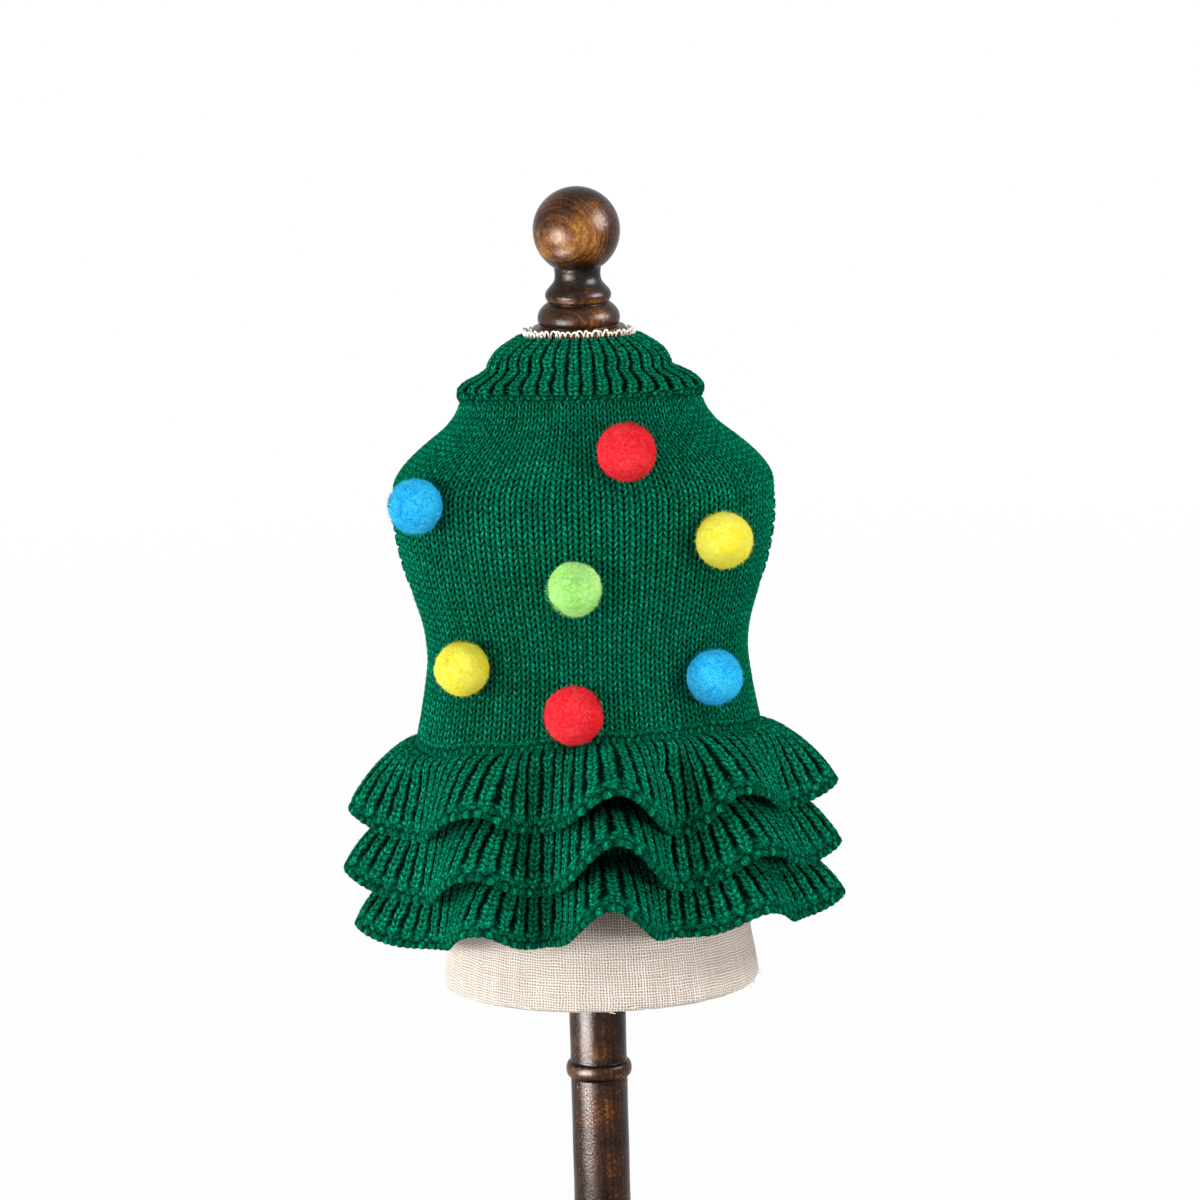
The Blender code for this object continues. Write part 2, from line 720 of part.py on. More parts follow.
def make_base():
    """A plain turned disc: flat underside, rounded rim, shallow cove up to the pole."""
    socket = POLE_TENON_RADIUS + SEAM_GAP
    shoulder = BASE_RADIUS - BASE_RIM
    profile = [Turn(0.0, shoulder)]
    for step in range(1, 6):
        turn = math.pi * (step / 6 - 0.5)
        profile.append(Turn(BASE_RIM * (1.0 + math.sin(turn)), shoulder + BASE_RIM * math.cos(turn)))
    steps = 5
    for step in range(steps + 1):
        share = step / steps
        profile.append(Turn(2 * BASE_RIM + (BASE_HEIGHT - 2 * BASE_RIM) * share ** 2,
                            shoulder - (shoulder - BASE_TOP_RADIUS) * share))
    profile.append(Turn(BASE_HEIGHT, socket))
    profile.append(Turn(BASE_HEIGHT - BASE_TENON_DEPTH, socket))
    return turned("stand_base", profile)


clear_scene()
make_body()
make_collar()
make_tiers()
make_skirt_base()
make_pompoms()
make_form()
make_finial()
make_pole()
make_base()
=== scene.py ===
# %% [markdown]
# # A knitted dog dress on its little stand
#
# The dress is a tube of stockinette knit with a ribbed collar and three ribbed ruffles, and
# seven wool pom-poms are sewn to its back. A small linen dress form fills it, on a turned
# walnut pole. The CAD model of the same object is loaded first and never moved. Each piece
# below is then made again with the detail that the plain model lacks: every stitch of the
# knit, the felt of the pom-poms, the weave of the linen and the grain of the wood.

# %% Load the fixed model
import math
from collections import namedtuple

import bpy
import numpy as np
from mathutils import Matrix, Vector


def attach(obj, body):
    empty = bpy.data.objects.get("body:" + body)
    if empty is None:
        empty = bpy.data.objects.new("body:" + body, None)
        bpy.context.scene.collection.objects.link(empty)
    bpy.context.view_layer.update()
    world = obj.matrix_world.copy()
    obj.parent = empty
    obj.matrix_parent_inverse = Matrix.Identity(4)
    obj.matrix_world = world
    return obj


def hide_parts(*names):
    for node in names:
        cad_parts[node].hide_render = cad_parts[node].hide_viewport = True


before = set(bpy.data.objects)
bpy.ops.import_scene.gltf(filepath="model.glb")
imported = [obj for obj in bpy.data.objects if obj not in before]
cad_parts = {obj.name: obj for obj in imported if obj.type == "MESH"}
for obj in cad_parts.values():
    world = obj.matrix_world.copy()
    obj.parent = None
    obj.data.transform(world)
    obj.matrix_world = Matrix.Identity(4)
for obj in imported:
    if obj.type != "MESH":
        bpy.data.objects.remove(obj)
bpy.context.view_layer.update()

MM = 0.001
print("solids in the model:", len(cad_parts))

# %% [markdown]
# ## Smooth numbers from short tables
#
# A maker notes a garment at a few heights and lets the cloth run smoothly between them.
# Three small helpers do the same: one eases from 0 to 1, one draws a smooth curve through
# the rows of a table, and one does so round a full turn. Two more measure along a line of
# points and cut arrows to a length of one. All of them take whole arrays of places at once,
# because a knitted panel has tens of thousands of points.
# Sizes in the tables are in millimetres, and MM turns them into metres in each mesh.

# %% Helpers for smooth numbers
def ease(share):
    share = np.clip(share, 0.0, 1.0)
    return share * share * (3.0 - 2.0 * share)


def through_rows(places, values, at):
    """A smooth curve through the rows of a table, level beyond its ends."""
    places = np.asarray(places, float)
    values = np.asarray(values, float)
    slopes = np.empty(len(places))
    slopes[1:-1] = (values[2:] - values[:-2]) / (places[2:] - places[:-2])
    slopes[0] = (values[1] - values[0]) / (places[1] - places[0])
    slopes[-1] = (values[-1] - values[-2]) / (places[-1] - places[-2])
    at = np.clip(at, places[0], places[-1])
    row = np.clip(np.searchsorted(places, at, side="right") - 1, 0, len(places) - 2)
    span = places[row + 1] - places[row]
    share = (at - places[row]) / span
    square = share * share
    cube = square * share
    return (values[row] * (2 * cube - 3 * square + 1)
            + slopes[row] * span * (cube - 2 * square + share)
            + values[row + 1] * (3 * square - 2 * cube)
            + slopes[row + 1] * span * (cube - square))


def round_the_turn(angles, values, at):
    """A curve through the rows of a table that closes after 360 degrees, level at each row."""
    order = np.argsort(np.mod(angles, 360.0))
    places = np.mod(angles, 360.0)[order]
    values = np.asarray(values, float)[order]
    places = np.append(places, places[0] + 360.0)
    values = np.append(values, values[0])
    at = np.mod(at, 360.0)
    at = np.where(at < places[0], at + 360.0, at)
    row = np.clip(np.searchsorted(places, at, side="right") - 1, 0, len(places) - 2)
    share = (at - places[row]) / (places[row + 1] - places[row])
    return values[row] + (values[row + 1] - values[row]) * (1.0 - np.cos(math.pi * share)) / 2.0


def length_along(points):
    """Running length of a line of points, along the first axis of the array."""
    steps = np.linalg.norm(np.diff(points, axis=0), axis=-1)
    return np.concatenate([np.zeros((1,) + steps.shape[1:]), np.cumsum(steps, axis=0)])


def unit(arrows):
    """The same directions, each with a length of one."""
    return arrows / np.linalg.norm(arrows, axis=-1, keepdims=True)


print("an ease at a quarter, a half and three quarters:", ease(np.array([0.25, 0.5, 0.75])))

# %% [markdown]
# ## The shape of the dress and the form
#
# The body of a sweater is a tube, so each height has an oval section with a half width and
# a half depth. Angle 0 is the middle of the back, which faces -Y, and 90 is the right side.
# The form inside repeats the body a little smaller. These tables are the same as the fixed
# model's, so that every new piece lies in the space of its solid, but the collar's edge is
# a little wider, because here it stands up round the foot of the finial.

# %% Sections of the body, the collar and the form
Section = namedtuple("Section", "height half_width half_depth")
BODY = [
    Section(255, 80.0, 59.0),
    Section(266, 78.8, 58.0),
    Section(278, 76.4, 56.8),
    Section(291, 74.2, 55.4),
    Section(304, 73.0, 55.0),
    Section(318, 74.4, 55.4),
    Section(333, 78.7, 56.4),
    Section(348, 82.2, 57.4),
    Section(362, 84.9, 57.8),
    Section(375, 86.1, 57.4),
    Section(384, 85.6, 56.4),
    Section(392, 80.4, 54.4),
    Section(400, 71.8, 51.0),
    Section(408, 62.0, 46.8),
    Section(416, 56.2, 43.6),
    Section(426, 53.6, 41.4),
]

Share = namedtuple("Share", "up half_width half_depth")
COLLAR = [
    Share(0.00, 54.0, 42.2),
    Share(0.09, 55.0, 43.2),
    Share(0.21, 54.6, 42.8),
    Share(0.33, 51.4, 40.4),
    Share(0.42, 45.8, 36.4),
    Share(0.50, 41.6, 33.6),
    Share(0.60, 40.6, 32.8),
    Share(0.72, 38.4, 31.4),
    Share(0.84, 34.0, 29.8),
    Share(0.94, 30.0, 27.8),
    Share(1.00, 27.4, 25.8),
]

SEAM_GAP = 0.3            # between two pieces that are sewn together
BODY_WALL = 2.2
COLLAR_WALL = 3.0
TIER_WALL = 2.6
BASE_TUBE_WALL = 2.0
EASE = 1.6                # between the form and the inside of the cloth
COLLAR_SEAM_HEIGHT = 420.0
COLLAR_SEAM_LIFT = 5.5    # how much higher it lies at the back, and lower at the belly
COLLAR_TOP_HEIGHT = 448.2
SIDE_SEAM_ANGLE = 116.0
LEG_HOLE_HEIGHT = 353.0
LEG_HOLE_HALF_HEIGHT = 31.0
LEG_HOLE_HALF_WIDTH = 20.0

SeamPoint = namedtuple("SeamPoint", "angle height")
WAIST_SEAM = [
    SeamPoint(-90, 264.0), SeamPoint(-62, 263.5), SeamPoint(-35, 268.0), SeamPoint(0, 273.0),
    SeamPoint(40, 274.0), SeamPoint(65, 271.5), SeamPoint(90, 268.5), SeamPoint(180, 266.0),
]


def column_of(table, name):
    return np.array([getattr(row, name) for row in table], float)


def oval(angle, height, half_width, half_depth, centre=0.0):
    """Points on level ovals: angle 0 is the middle of the back, 90 the right side."""
    turn = np.radians(angle)
    x = centre + half_width * np.sin(turn)
    y = -half_depth * np.cos(turn)
    return np.stack(np.broadcast_arrays(x, y, height), axis=-1)


def sizes_at(table, key, at):
    """Half the width and half the depth at places between the sections of a table."""
    return [through_rows(column_of(table, key), column_of(table, side), at)
            for side in ("half_width", "half_depth")]


def body_skin(angle, height):
    """Points on the outside of the sweater body."""
    return oval(angle, height, *sizes_at(BODY, "height", height))


def waist_seam(angle):
    return round_the_turn(column_of(WAIST_SEAM, "angle"), column_of(WAIST_SEAM, "height"), angle)


def collar_seam(angle):
    return COLLAR_SEAM_HEIGHT + COLLAR_SEAM_LIFT * np.cos(np.radians(angle))


def degree_at(angle, height):
    """Length of one degree along the body's skin."""
    return np.linalg.norm(body_skin(angle + 0.5, height) - body_skin(angle - 0.5, height), axis=-1)


def leg_hole_angle(height):
    """Half the angle that the leg hole takes out of the side seam at a height."""
    share = np.clip((height - LEG_HOLE_HEIGHT) / LEG_HOLE_HALF_HEIGHT, -1.0, 1.0)
    half_width = LEG_HOLE_HALF_WIDTH * np.sqrt(1.0 - share * share)
    return half_width / degree_at(SIDE_SEAM_ANGLE, height)


print("widest section of the body, mm:", 2 * column_of(BODY, "half_width").max())

# %% [markdown]
# ## Shader sums written as plain Python
#
# A material is a net of nodes, and a net of a hundred Math nodes is hard to read. Here one
# small class wraps a socket and overloads the operators, so that a sum on it adds the Math
# nodes by itself, and 1 - mask works as well as mask - 1. A colour or a vector goes through
# Mix and Vector Math instead, because a Math node would turn it grey. Every other kind of
# node comes from one method, which takes the node's type, its settings and its inputs.

# %% Values and trees
class Value:
    """A socket of a material that Python sums can work with."""

    def __init__(self, tree, node, output=0):
        self.tree = tree
        self.node = node
        self.socket = node.outputs[output]

    def out(self, name):
        """Another output of the same node."""
        return Value(self.tree, self.node, name)

    def math(self, operation, *others, clamp=False):
        return self.tree.node("ShaderNodeMath", {"operation": operation, "use_clamp": clamp},
                              self, *others)

    def __add__(self, other):
        return self.math("ADD", other)

    def __sub__(self, other):
        return self.math("SUBTRACT", other)

    def __mul__(self, other):
        return self.math("MULTIPLY", other)

    def __truediv__(self, other):
        return self.math("DIVIDE", other)

    def __gt__(self, other):
        return self.math("GREATER_THAN", other)

    def __rsub__(self, other):
        return self.tree.node("ShaderNodeMath", {"operation": "SUBTRACT"}, other, self)

    def __rtruediv__(self, other):
        return self.tree.node("ShaderNodeMath", {"operation": "DIVIDE"}, other, self)

    __radd__ = __add__
    __rmul__ = __mul__

    def limited(self):
        """The value kept between 0 and 1."""
        return self.math("ADD", 0.0, clamp=True)


class Net:
    """The nodes and links of a material or of the world."""

    def __init__(self, node_tree):
        self.nodes = node_tree.nodes
        self.links = node_tree.links

    def node(self, kind, settings, *values, **named):
        """Add a node: first its settings, then the values or links of its sockets."""
        node = self.nodes.new(kind)
        for setting, choice in settings.items():
            if setting == "stops":
                self.set_stops(node.color_ramp, choice)
            else:
                setattr(node, setting, choice)
        for place, value in list(enumerate(values)) + list(named.items()):
            socket = place if isinstance(place, int) else place.replace("_", " ")
            self.feed(node.inputs[socket], value)
        return Value(self, node)

    def set_stops(self, ramp, stops):
        while len(ramp.elements) > 1:
            ramp.elements.remove(ramp.elements[-1])
        for number, (place, colour) in enumerate(stops):
            element = ramp.elements[0] if number == 0 else ramp.elements.new(place)
            element.position = place
            element.color = (*colour, 1.0)

    def feed(self, socket, value):
        if isinstance(value, Value):
            self.links.new(value.socket, socket)
        elif isinstance(value, tuple) and len(value) == 3 and socket.type == "RGBA":
            socket.default_value = (*value, 1.0)
        else:
            socket.default_value = value

    def ramp(self, value, *stops):
        """A colour that runs through stops of (place, colour)."""
        return self.node("ShaderNodeValToRGB", {"stops": stops}, value)

    def mix(self, factor, first, second, blend="MIX"):
        """Two colours mixed: all first at 0, all second at 1."""
        node = self.node("ShaderNodeMix", {"data_type": "RGBA", "blend_type": blend}).node
        # A Mix node has sockets for numbers and vectors too, so its colours are 6, 7 and 2.
        self.feed(node.inputs[0], factor)
        self.feed(node.inputs[6], first)
        self.feed(node.inputs[7], second)
        return Value(self, node, 2)

    def stretched(self, vector, scale, offset=(0.0, 0.0, 0.0)):
        """A vector stretched by another, then moved."""
        longer = self.node("ShaderNodeVectorMath", {"operation": "MULTIPLY"}, vector, scale)
        return self.node("ShaderNodeVectorMath", {"operation": "ADD"}, longer, offset)

    def split(self, vector):
        """The three numbers of a vector."""
        parts = self.node("ShaderNodeSeparateXYZ", {}, vector)
        return parts.out("X"), parts.out("Y"), parts.out("Z")

    def fabric(self):
        """The three numbers that a mesh keeps for each point of its surface."""
        kept = self.node("ShaderNodeAttribute", {"attribute_name": "fabric"})
        return self.split(kept.out("Vector"))

    def noise(self, vector, scale, detail=2.0, roughness=0.5, distortion=0.0):
        return self.node("ShaderNodeTexNoise", {}, Vector=vector, Scale=scale, Detail=detail,
                         Roughness=roughness, Distortion=distortion)

    def bump(self, height, depth, strength):
        """A bump of the given depth in metres."""
        return self.node("ShaderNodeBump", {}, Height=height, Distance=depth, Strength=strength)


class Tree(Net):
    """The nodes of one material, ending in one Principled shader."""

    def __init__(self, name, **constants):
        self.material = bpy.data.materials.new(name)
        self.material.use_nodes = True
        super().__init__(self.material.node_tree)
        self.shader = self.nodes["Principled BSDF"]
        for socket, number in constants.items():
            self.shader.inputs[socket.replace("_", " ")].default_value = number

    def object_place(self):
        """The place of each point, in metres, as the object itself counts it."""
        return self.node("ShaderNodeTexCoord", {}).out("Object")

    def finish(self, **links):
        """Feed the shader's sockets, and hand the material back."""
        for socket, value in links.items():
            self.feed(self.shader.inputs[socket.replace("_", " ")], value)
        return self.material


trial = Tree("trial", Roughness=0.5)
mask = 1.0 - trial.node("ShaderNodeTexNoise", {}, Scale=4.0) * 0.5
print(len(trial.nodes), "nodes in a tree with a noise and two sums, which give a", mask.socket.type)
bpy.data.materials.remove(trial.material)

# %% [markdown]
# ## One knitted stitch
#
# Knit is rows of loops drawn through each other. Seen from the right side each stitch is
# two slanted legs of yarn that lean together, thick in the middle and tucked away at both
# ends, so every leg is close to a long ellipsoid. On this dress the right leg of each
# stitch is plump and the left one thin, as yarn with a strong twist makes it.
# One formula gives the height of the yarn, from 0 in the holes to 1 on a crest. It counts
# across in wales, which are the columns of stitches, and up in courses, which are the rows.
# It is written with plain sums, so that the same lines shape a mesh, fed with arrays, and
# later shade a surface, fed with sockets.

# %% The height of yarn in a stitch
Stitch = namedtuple("Stitch", "wale course leg_out leg_width leg_length lean plump wander")
STOCKINETTE = Stitch(wale=4.6, course=2.95, leg_out=1.12, leg_width=0.90, leg_length=2.55,
                     lean=-0.40, plump=0.13, wander=0.025)
RIB = Stitch(wale=5.8, course=2.95, leg_out=1.20, leg_width=1.20, leg_length=2.45,
             lean=0.47, plump=0.07, wander=0.075)
RIB_SHOULDER = 1.7        # how far in from its edge a rib is round
LEG_TUCK = 0.16           # how much lower a leg lies at its upper end
BUMP_HALF_WIDTH = 0.58    # of a purl bump, as a share of its place in the row
BUMP_HALF_HEIGHT = 0.68
BUMP_UNEVEN = 0.18        # half of the difference between a high bump and a low one


def fraction(value):
    return value.math("FRACT") if isinstance(value, Value) else value - np.floor(value)


def size_of(value):
    return value.math("ABSOLUTE") if isinstance(value, Value) else np.abs(value)


def root(value):
    return value.math("SQRT") if isinstance(value, Value) else np.sqrt(value)


def higher(value, other):
    if isinstance(value, Value):
        return value.math("MAXIMUM", other)
    return np.maximum(value, other)


def limited(value):
    return value.limited() if isinstance(value, Value) else np.clip(value, 0.0, 1.0)


def sine(value):
    return value.math("SINE") if isinstance(value, Value) else np.sin(value)


def wandered(wale, course, amount):
    """Places of stitches, pulled a little out of line as knitting and wear leave them."""
    aside = sine(wale * 2.9 + course * 1.3) * sine(course * 0.83 - wale * 1.1)
    along = sine(wale * 4.3 - course * 0.7) * sine(course * 1.9 + wale * 0.6)
    return wale + aside * amount, course + along * (amount * 2.4)


def legs(wale, course, stitch, spread=1.0):
    """Height of the two legs of yarn in each stitch, where wales lie spread times as wide."""
    place = fraction(wale) - 0.5
    right = (place > 0.0) * 1.0
    across = size_of(place) * spread * stitch.wale - stitch.leg_out
    width = stitch.leg_width * (1.0 - stitch.plump + 2.0 * stitch.plump * right)
    lean_in = math.sin(stitch.lean)
    stand = math.cos(stitch.lean)
    height = 0.0
    for row in (-1, 0, 1):
        up = (fraction(course) - 0.5 - row) * stitch.course
        along = (up * stand + across * lean_in) / stitch.leg_length
        aside = (across * stand - up * lean_in) / width
        leg = root(higher(1.0 - along * along - aside * aside, 0.0))
        height = higher(leg * (1.0 - LEG_TUCK * along), height)
    return height


def bumps(wale, course, per_wale):
    """Height of purl bumps: short loops that lie across the wales, each row set off by half."""
    row = course - fraction(course)
    count = wale * per_wale + row * 0.5
    lifted = course + sine(count * 2.4 + row) * 0.13
    x = (fraction(count + sine(count * 1.7) * 0.10) - 0.5) / BUMP_HALF_WIDTH
    y = (fraction(lifted) - 0.5) / BUMP_HALF_HEIGHT
    size = 1.0 - BUMP_UNEVEN + sine(count * 3.9 + row * 2.0) * BUMP_UNEVEN
    return root(higher(1.0 - x * x - y * y, 0.0)) * size


def yarn_height(wale, course, stitch, spread, purl, bumps_per_wale):
    """Height of the yarn where legs turn into purl bumps, as purl goes from 0 to 1."""
    knitted = legs(wale, course, stitch, spread) * limited(2.0 - purl * 2.0)
    purled = bumps(wale, course, bumps_per_wale) * limited(purl * 2.0)
    return higher(knitted, purled)


def ridge(wale, stitch, spread=1.0):
    """The round back of a rib: 1 along the middle of a wale and 0 in the groove beside it."""
    from_edge = (0.5 - size_of(fraction(wale) - 0.5)) * spread * stitch.wale
    share = 1.0 - higher(1.0 - from_edge / RIB_SHOULDER, 0.0)
    return root(share * (2.0 - share))


sample = legs(np.linspace(0, 1, 25), np.full(25, 0.5), STOCKINETTE)
print("yarn height across one stitch, lowest and highest:", sample.min(), sample.max())

# %% [markdown]
# ## Cloth as a thin closed shell
#
# A wall of knit has a right side with every stitch in relief, a wrong side that is hardly
# seen, and edges that roll over. So a shell here is two grids on the same middle surface,
# a fine one outside and a coarse one inside, and a band of triangles that joins their
# edges. A subdivision and a displacement modifier could raise the stitches too, but they
# would spend as many faces on the hidden side, and their faces would not line up with the
# wales. Each point also keeps its wale and course in a map named knit, and three numbers
# named fabric: how far its wales are spread, its share of purl, and the depth of the groove.

# %% Meshes from arrays of points
def make_mesh(name, points, quads, triangles, knit=None, wrap=0.0, fabric=None):
    """A mesh from points in millimetres; knit gives each point's place in the fabric."""
    quads = np.asarray(quads, np.int32).reshape(-1, 4)
    triangles = np.asarray(triangles, np.int32).reshape(-1, 3)
    corners = np.concatenate([quads.ravel(), triangles.ravel()])
    starts = np.concatenate([np.arange(len(quads)) * 4,
                             len(quads) * 4 + np.arange(len(triangles)) * 3])
    mesh = bpy.data.meshes.new(name)
    mesh.vertices.add(len(points))
    mesh.vertices.foreach_set("co", (points * MM).astype(np.float32).ravel())
    mesh.loops.add(len(corners))
    mesh.loops.foreach_set("vertex_index", corners.astype(np.int32))
    mesh.polygons.add(len(starts))
    mesh.polygons.foreach_set("loop_start", starts.astype(np.int32))
    mesh.polygons.foreach_set("use_smooth", np.ones(len(starts), bool))
    mesh.update(calc_edges=True)
    if knit is not None:
        place = [knit[quads], knit[triangles]]
        for faces in place:
            wale = faces[..., 0]
            crossing = (wale.max(1) - wale.min(1) > wrap / 2)[:, None] if wrap else False
            faces[..., 0] = np.where(crossing & (wale < wrap / 2), wale + wrap, wale)
        place = np.concatenate([faces.reshape(-1, 2) for faces in place])
        layer = mesh.uv_layers.new(name="knit")
        layer.uv.foreach_set("vector", place.astype(np.float32).ravel())
    if fabric is not None:
        layer = mesh.attributes.new("fabric", "FLOAT_VECTOR", "POINT")
        layer.data.foreach_set("vector", fabric.astype(np.float32).ravel())
    mesh.validate()
    return mesh


def in_scene(name, data):
    """A new object in the scene: a mesh, a lamp or a camera."""
    thing = bpy.data.objects.new(name, data)
    bpy.context.scene.collection.objects.link(thing)
    return thing


def make_piece(name, mesh, finish, slot, *nodes):
    """Put a mesh in the scene: it rides on the one body and stands for its solids."""
    mesh.materials.append(finish)
    piece = in_scene(name, mesh)
    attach(piece, "root")
    if nodes:
        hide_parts(*nodes)
    return piece


def grid_quads(rows, columns, start, closed, inside=False):
    """Faces of a grid of points, numbered from start, that look outwards or inwards."""
    row, column = np.meshgrid(np.arange(rows - 1), np.arange(columns if closed else columns - 1),
                              indexing="ij")
    near = start + row * columns + column
    far = start + row * columns + (column + 1) % columns
    quads = np.stack([near, far, far + columns, near + columns], -1).reshape(-1, 4)
    return quads[:, ::-1] if inside else quads


def end_caps(rings, columns):
    """Triangles that close both ends of a stack of rings, to the two points after the last."""
    first = np.arange(columns)
    after = (first + 1) % columns
    count = rings * columns
    top = count - columns
    return np.concatenate([
        np.stack([np.full_like(first, count), after, first], -1),
        np.stack([np.full_like(first, count + 1), top + first, top + after], -1)])


def zip_loops(outer, inner, outer_place, inner_place):
    """Triangles between two closed loops of points, matched by their places from 0 to 1."""
    triangles = []
    i = 0
    j = 0
    outer_place = np.append(outer_place, 1.0)
    inner_place = np.append(inner_place, 1.0)
    while i < len(outer) or j < len(inner):
        a = outer[i % len(outer)]
        b = inner[j % len(inner)]
        outer_left = i < len(outer)
        if j >= len(inner) or (outer_left and outer_place[i + 1] <= inner_place[j + 1]):
            triangles.append((a, b, outer[(i + 1) % len(outer)]))
            i += 1
        else:
            triangles.append((a, b, inner[(j + 1) % len(inner)]))
            j += 1
    return triangles


def rim_loops(rows, columns, start, closed):
    """The open edges of a grid: each a loop of point numbers with their places along it."""
    number = start + np.arange(rows * columns).reshape(rows, columns)
    if closed:
        place = np.arange(columns) / columns
        # The upper edge is read the other way round, and starts at the same column.
        return [(number[0], place), (np.roll(number[-1][::-1], 1), place)]
    sides = [number[0], number[:, -1], number[-1][::-1], number[::-1, 0]]
    loop = np.concatenate([side[:-1] for side in sides])
    place = np.concatenate([(k + np.arange(len(side) - 1) / (len(side) - 1)) / 4
                            for k, side in enumerate(sides)])
    return [(loop, place)]


def directions(points, closed):
    """Unit directions out of a grid of cloth and up it, at each of its points."""
    if closed:
        across = np.roll(points, -1, 1) - np.roll(points, 1, 1)
    else:
        across = np.gradient(points, axis=1)
    up = np.gradient(points, axis=0)
    return unit(np.cross(across, up)), unit(up)


# %% [markdown]
# ### From the way the cloth lies to its shell
#
# Each piece of the dress says how it lies: a function that takes wales and courses and
# gives the middle surface, with the groove and the purl share of its fabric. One function
# then knits every piece. Yarn doesn't grow when cloth is spread, so where the wales lie
# wider than they were knitted, the legs keep their size and the grooves between them open.
# The relief of the yarn pushes the outer grid out and in, and both edges are rounded over in
# a few narrow rows, with a small swelling for each bump of the cast-on or cast-off row.

# %% Knit a shell
Lie = namedtuple("Lie", "points wale course groove purl")
EDGE_TURNS = (0.0, 32.0, 62.0)  # degrees of the rows that round an edge on the right side
INSIDE_EDGE_TURNS = (-42.0,)    # and of the one row on the wrong side
INSIDE_RELIEF = 0.35      # how much of the yarn's relief the wrong side has
EDGE_SWELL = 0.35         # how much thicker an edge is at each bump
YARN_DEPTH = 1.05         # from the holes between stitches to the top of the yarn
YARN_PROUD = 0.38         # how much of it stands over the nominal face
YARN_SPREADS = 0.5        # share of a stretch that opens the grooves; the yarn takes the rest
GROOVE_OPENS = 6.0        # how fast a groove deepens where the wales are spread


def spread_of(lie, stitch, closed):
    """How many times wider than it was knitted each wale lies, and at least 1."""
    if closed:
        across = (np.roll(lie.points, -1, 1) - np.roll(lie.points, 1, 1)) / 2.0
        wales = (lie.wale[:, 2:3] - lie.wale[:, 0:1]) / 2.0
    else:
        across = np.gradient(lie.points, axis=1)
        wales = np.gradient(lie.wale, axis=1)
    pitch = np.linalg.norm(across, axis=-1) / np.maximum(wales, 1e-6)
    return 1.0 + YARN_SPREADS * np.clip(pitch / stitch.wale - 1.0, 0.0, 1.0)


def yarn_relief(lie, spread, groove, stitch, bumps_per_wale):
    """How far the yarn stands over or under the nominal face of the cloth."""
    wale, course = wandered(lie.wale, lie.course, stitch.wander)
    height = yarn_height(wale, course, stitch, spread, lie.purl, bumps_per_wale)
    sunk = groove * (1.0 - ridge(wale, stitch, spread)) * (1.0 - 0.7 * lie.purl)
    return YARN_PROUD - YARN_DEPTH * (1.0 - height) - sunk


def fine_rows(low, high, per_course, inset):
    """Places of rows between two courses, in step with the stitches."""
    first = math.floor((low + inset) * per_course) + 1
    last = math.ceil((high - inset) * per_course)
    return np.concatenate([[low + inset], np.arange(first, last) / per_course, [high - inset]])


def knit_shell(name, lay, wales, courses, wall, stitch, fine, coarse, closed, bumps_per_wale=1):
    """A closed shell of knit: fine and coarse are (steps per wale, steps per course)."""
    low, high = wales
    half = wall / 2.0
    inset = half / stitch.course
    layers = []
    for steps, side in ((fine, 1.0), (coarse, -1.0)):
        columns = round((high - low) * steps[0])
        wale = low + (high - low) * np.arange(columns + (0 if closed else 1)) / columns
        lie = lay(wale, fine_rows(0.0, courses, steps[1], inset))
        out, up = directions(lie.points, closed)
        spread = spread_of(lie, stitch, closed)
        groove = lie.groove * (1.0 + GROOVE_OPENS * (spread - 1.0))
        relief = yarn_relief(lie, spread, groove, stitch, bumps_per_wale)
        offset = half + (relief if side > 0 else INSIDE_RELIEF * relief)
        turns = EDGE_TURNS if side > 0 else INSIDE_EDGE_TURNS
        edge_row = bumps(lie.wale, np.full(lie.wale.shape, 0.5), bumps_per_wale)
        swell = half * (1.0 + EDGE_SWELL * edge_row)
        rows = []
        picks = [0] * len(turns) + list(range(len(lie.points))) + [-1] * len(turns)
        angles = list(turns) + [90.0] * len(lie.points) + list(turns[::-1])
        for count, (row, turn) in enumerate(zip(picks, angles)):
            lift = abs(math.sin(math.radians(turn)))
            reach = math.cos(math.radians(turn))
            way = -1.0 if count < len(turns) else 1.0
            edge = reach * swell[row] * way if turn != 90.0 else np.zeros(len(wale))
            rows.append(lie.points[row] + out[row] * (side * lift * offset[row])[:, None]
                        + up[row] * edge[:, None])
        knit = np.stack([lie.wale[picks], lie.course[picks]], -1)
        fabric = np.stack([spread[picks], lie.purl[picks], groove[picks]], -1)
        layers.append((np.stack(rows), knit, fabric))
    outer, inner = (layer[0].shape[:2] for layer in layers)
    points, knit, fabric = (np.concatenate([part.reshape(-1, part.shape[-1]) for part in parts])
                            for parts in zip(*layers))
    start = outer[0] * outer[1]
    quads = np.concatenate([grid_quads(*outer, 0, closed),
                            grid_quads(*inner, start, closed, inside=True)])
    triangles = []
    for outside, inside in zip(rim_loops(*outer, 0, closed), rim_loops(*inner, start, closed)):
        triangles.extend(zip_loops(outside[0], inside[0], outside[1], inside[1]))
    mesh = make_mesh(name, points, quads, triangles, knit=knit,
                     wrap=(high - low) if closed else 0.0, fabric=fabric)
    count = len(quads) * 2 + len(triangles)
    print(f"{name}: {high - low:.0f} wales by {courses:.0f} courses, {count} triangles")
    return mesh


# %% [markdown]
# ## The two panels of the body
#
# The back is one panel of stockinette, and the belly a narrower one in rib, which hugs the
# dog's chest. A wale keeps its place round the body, so the wales fan out over the
# shoulders and draw together under the collar. Courses are spread evenly between the waist
# seam and the collar seam along each wale. Where a leg hole cuts the side seam, the outer
# columns of the mesh are drawn in to its edge, and the pattern itself runs on, so that the
# hole cuts through the stitches as it does in the cloth.

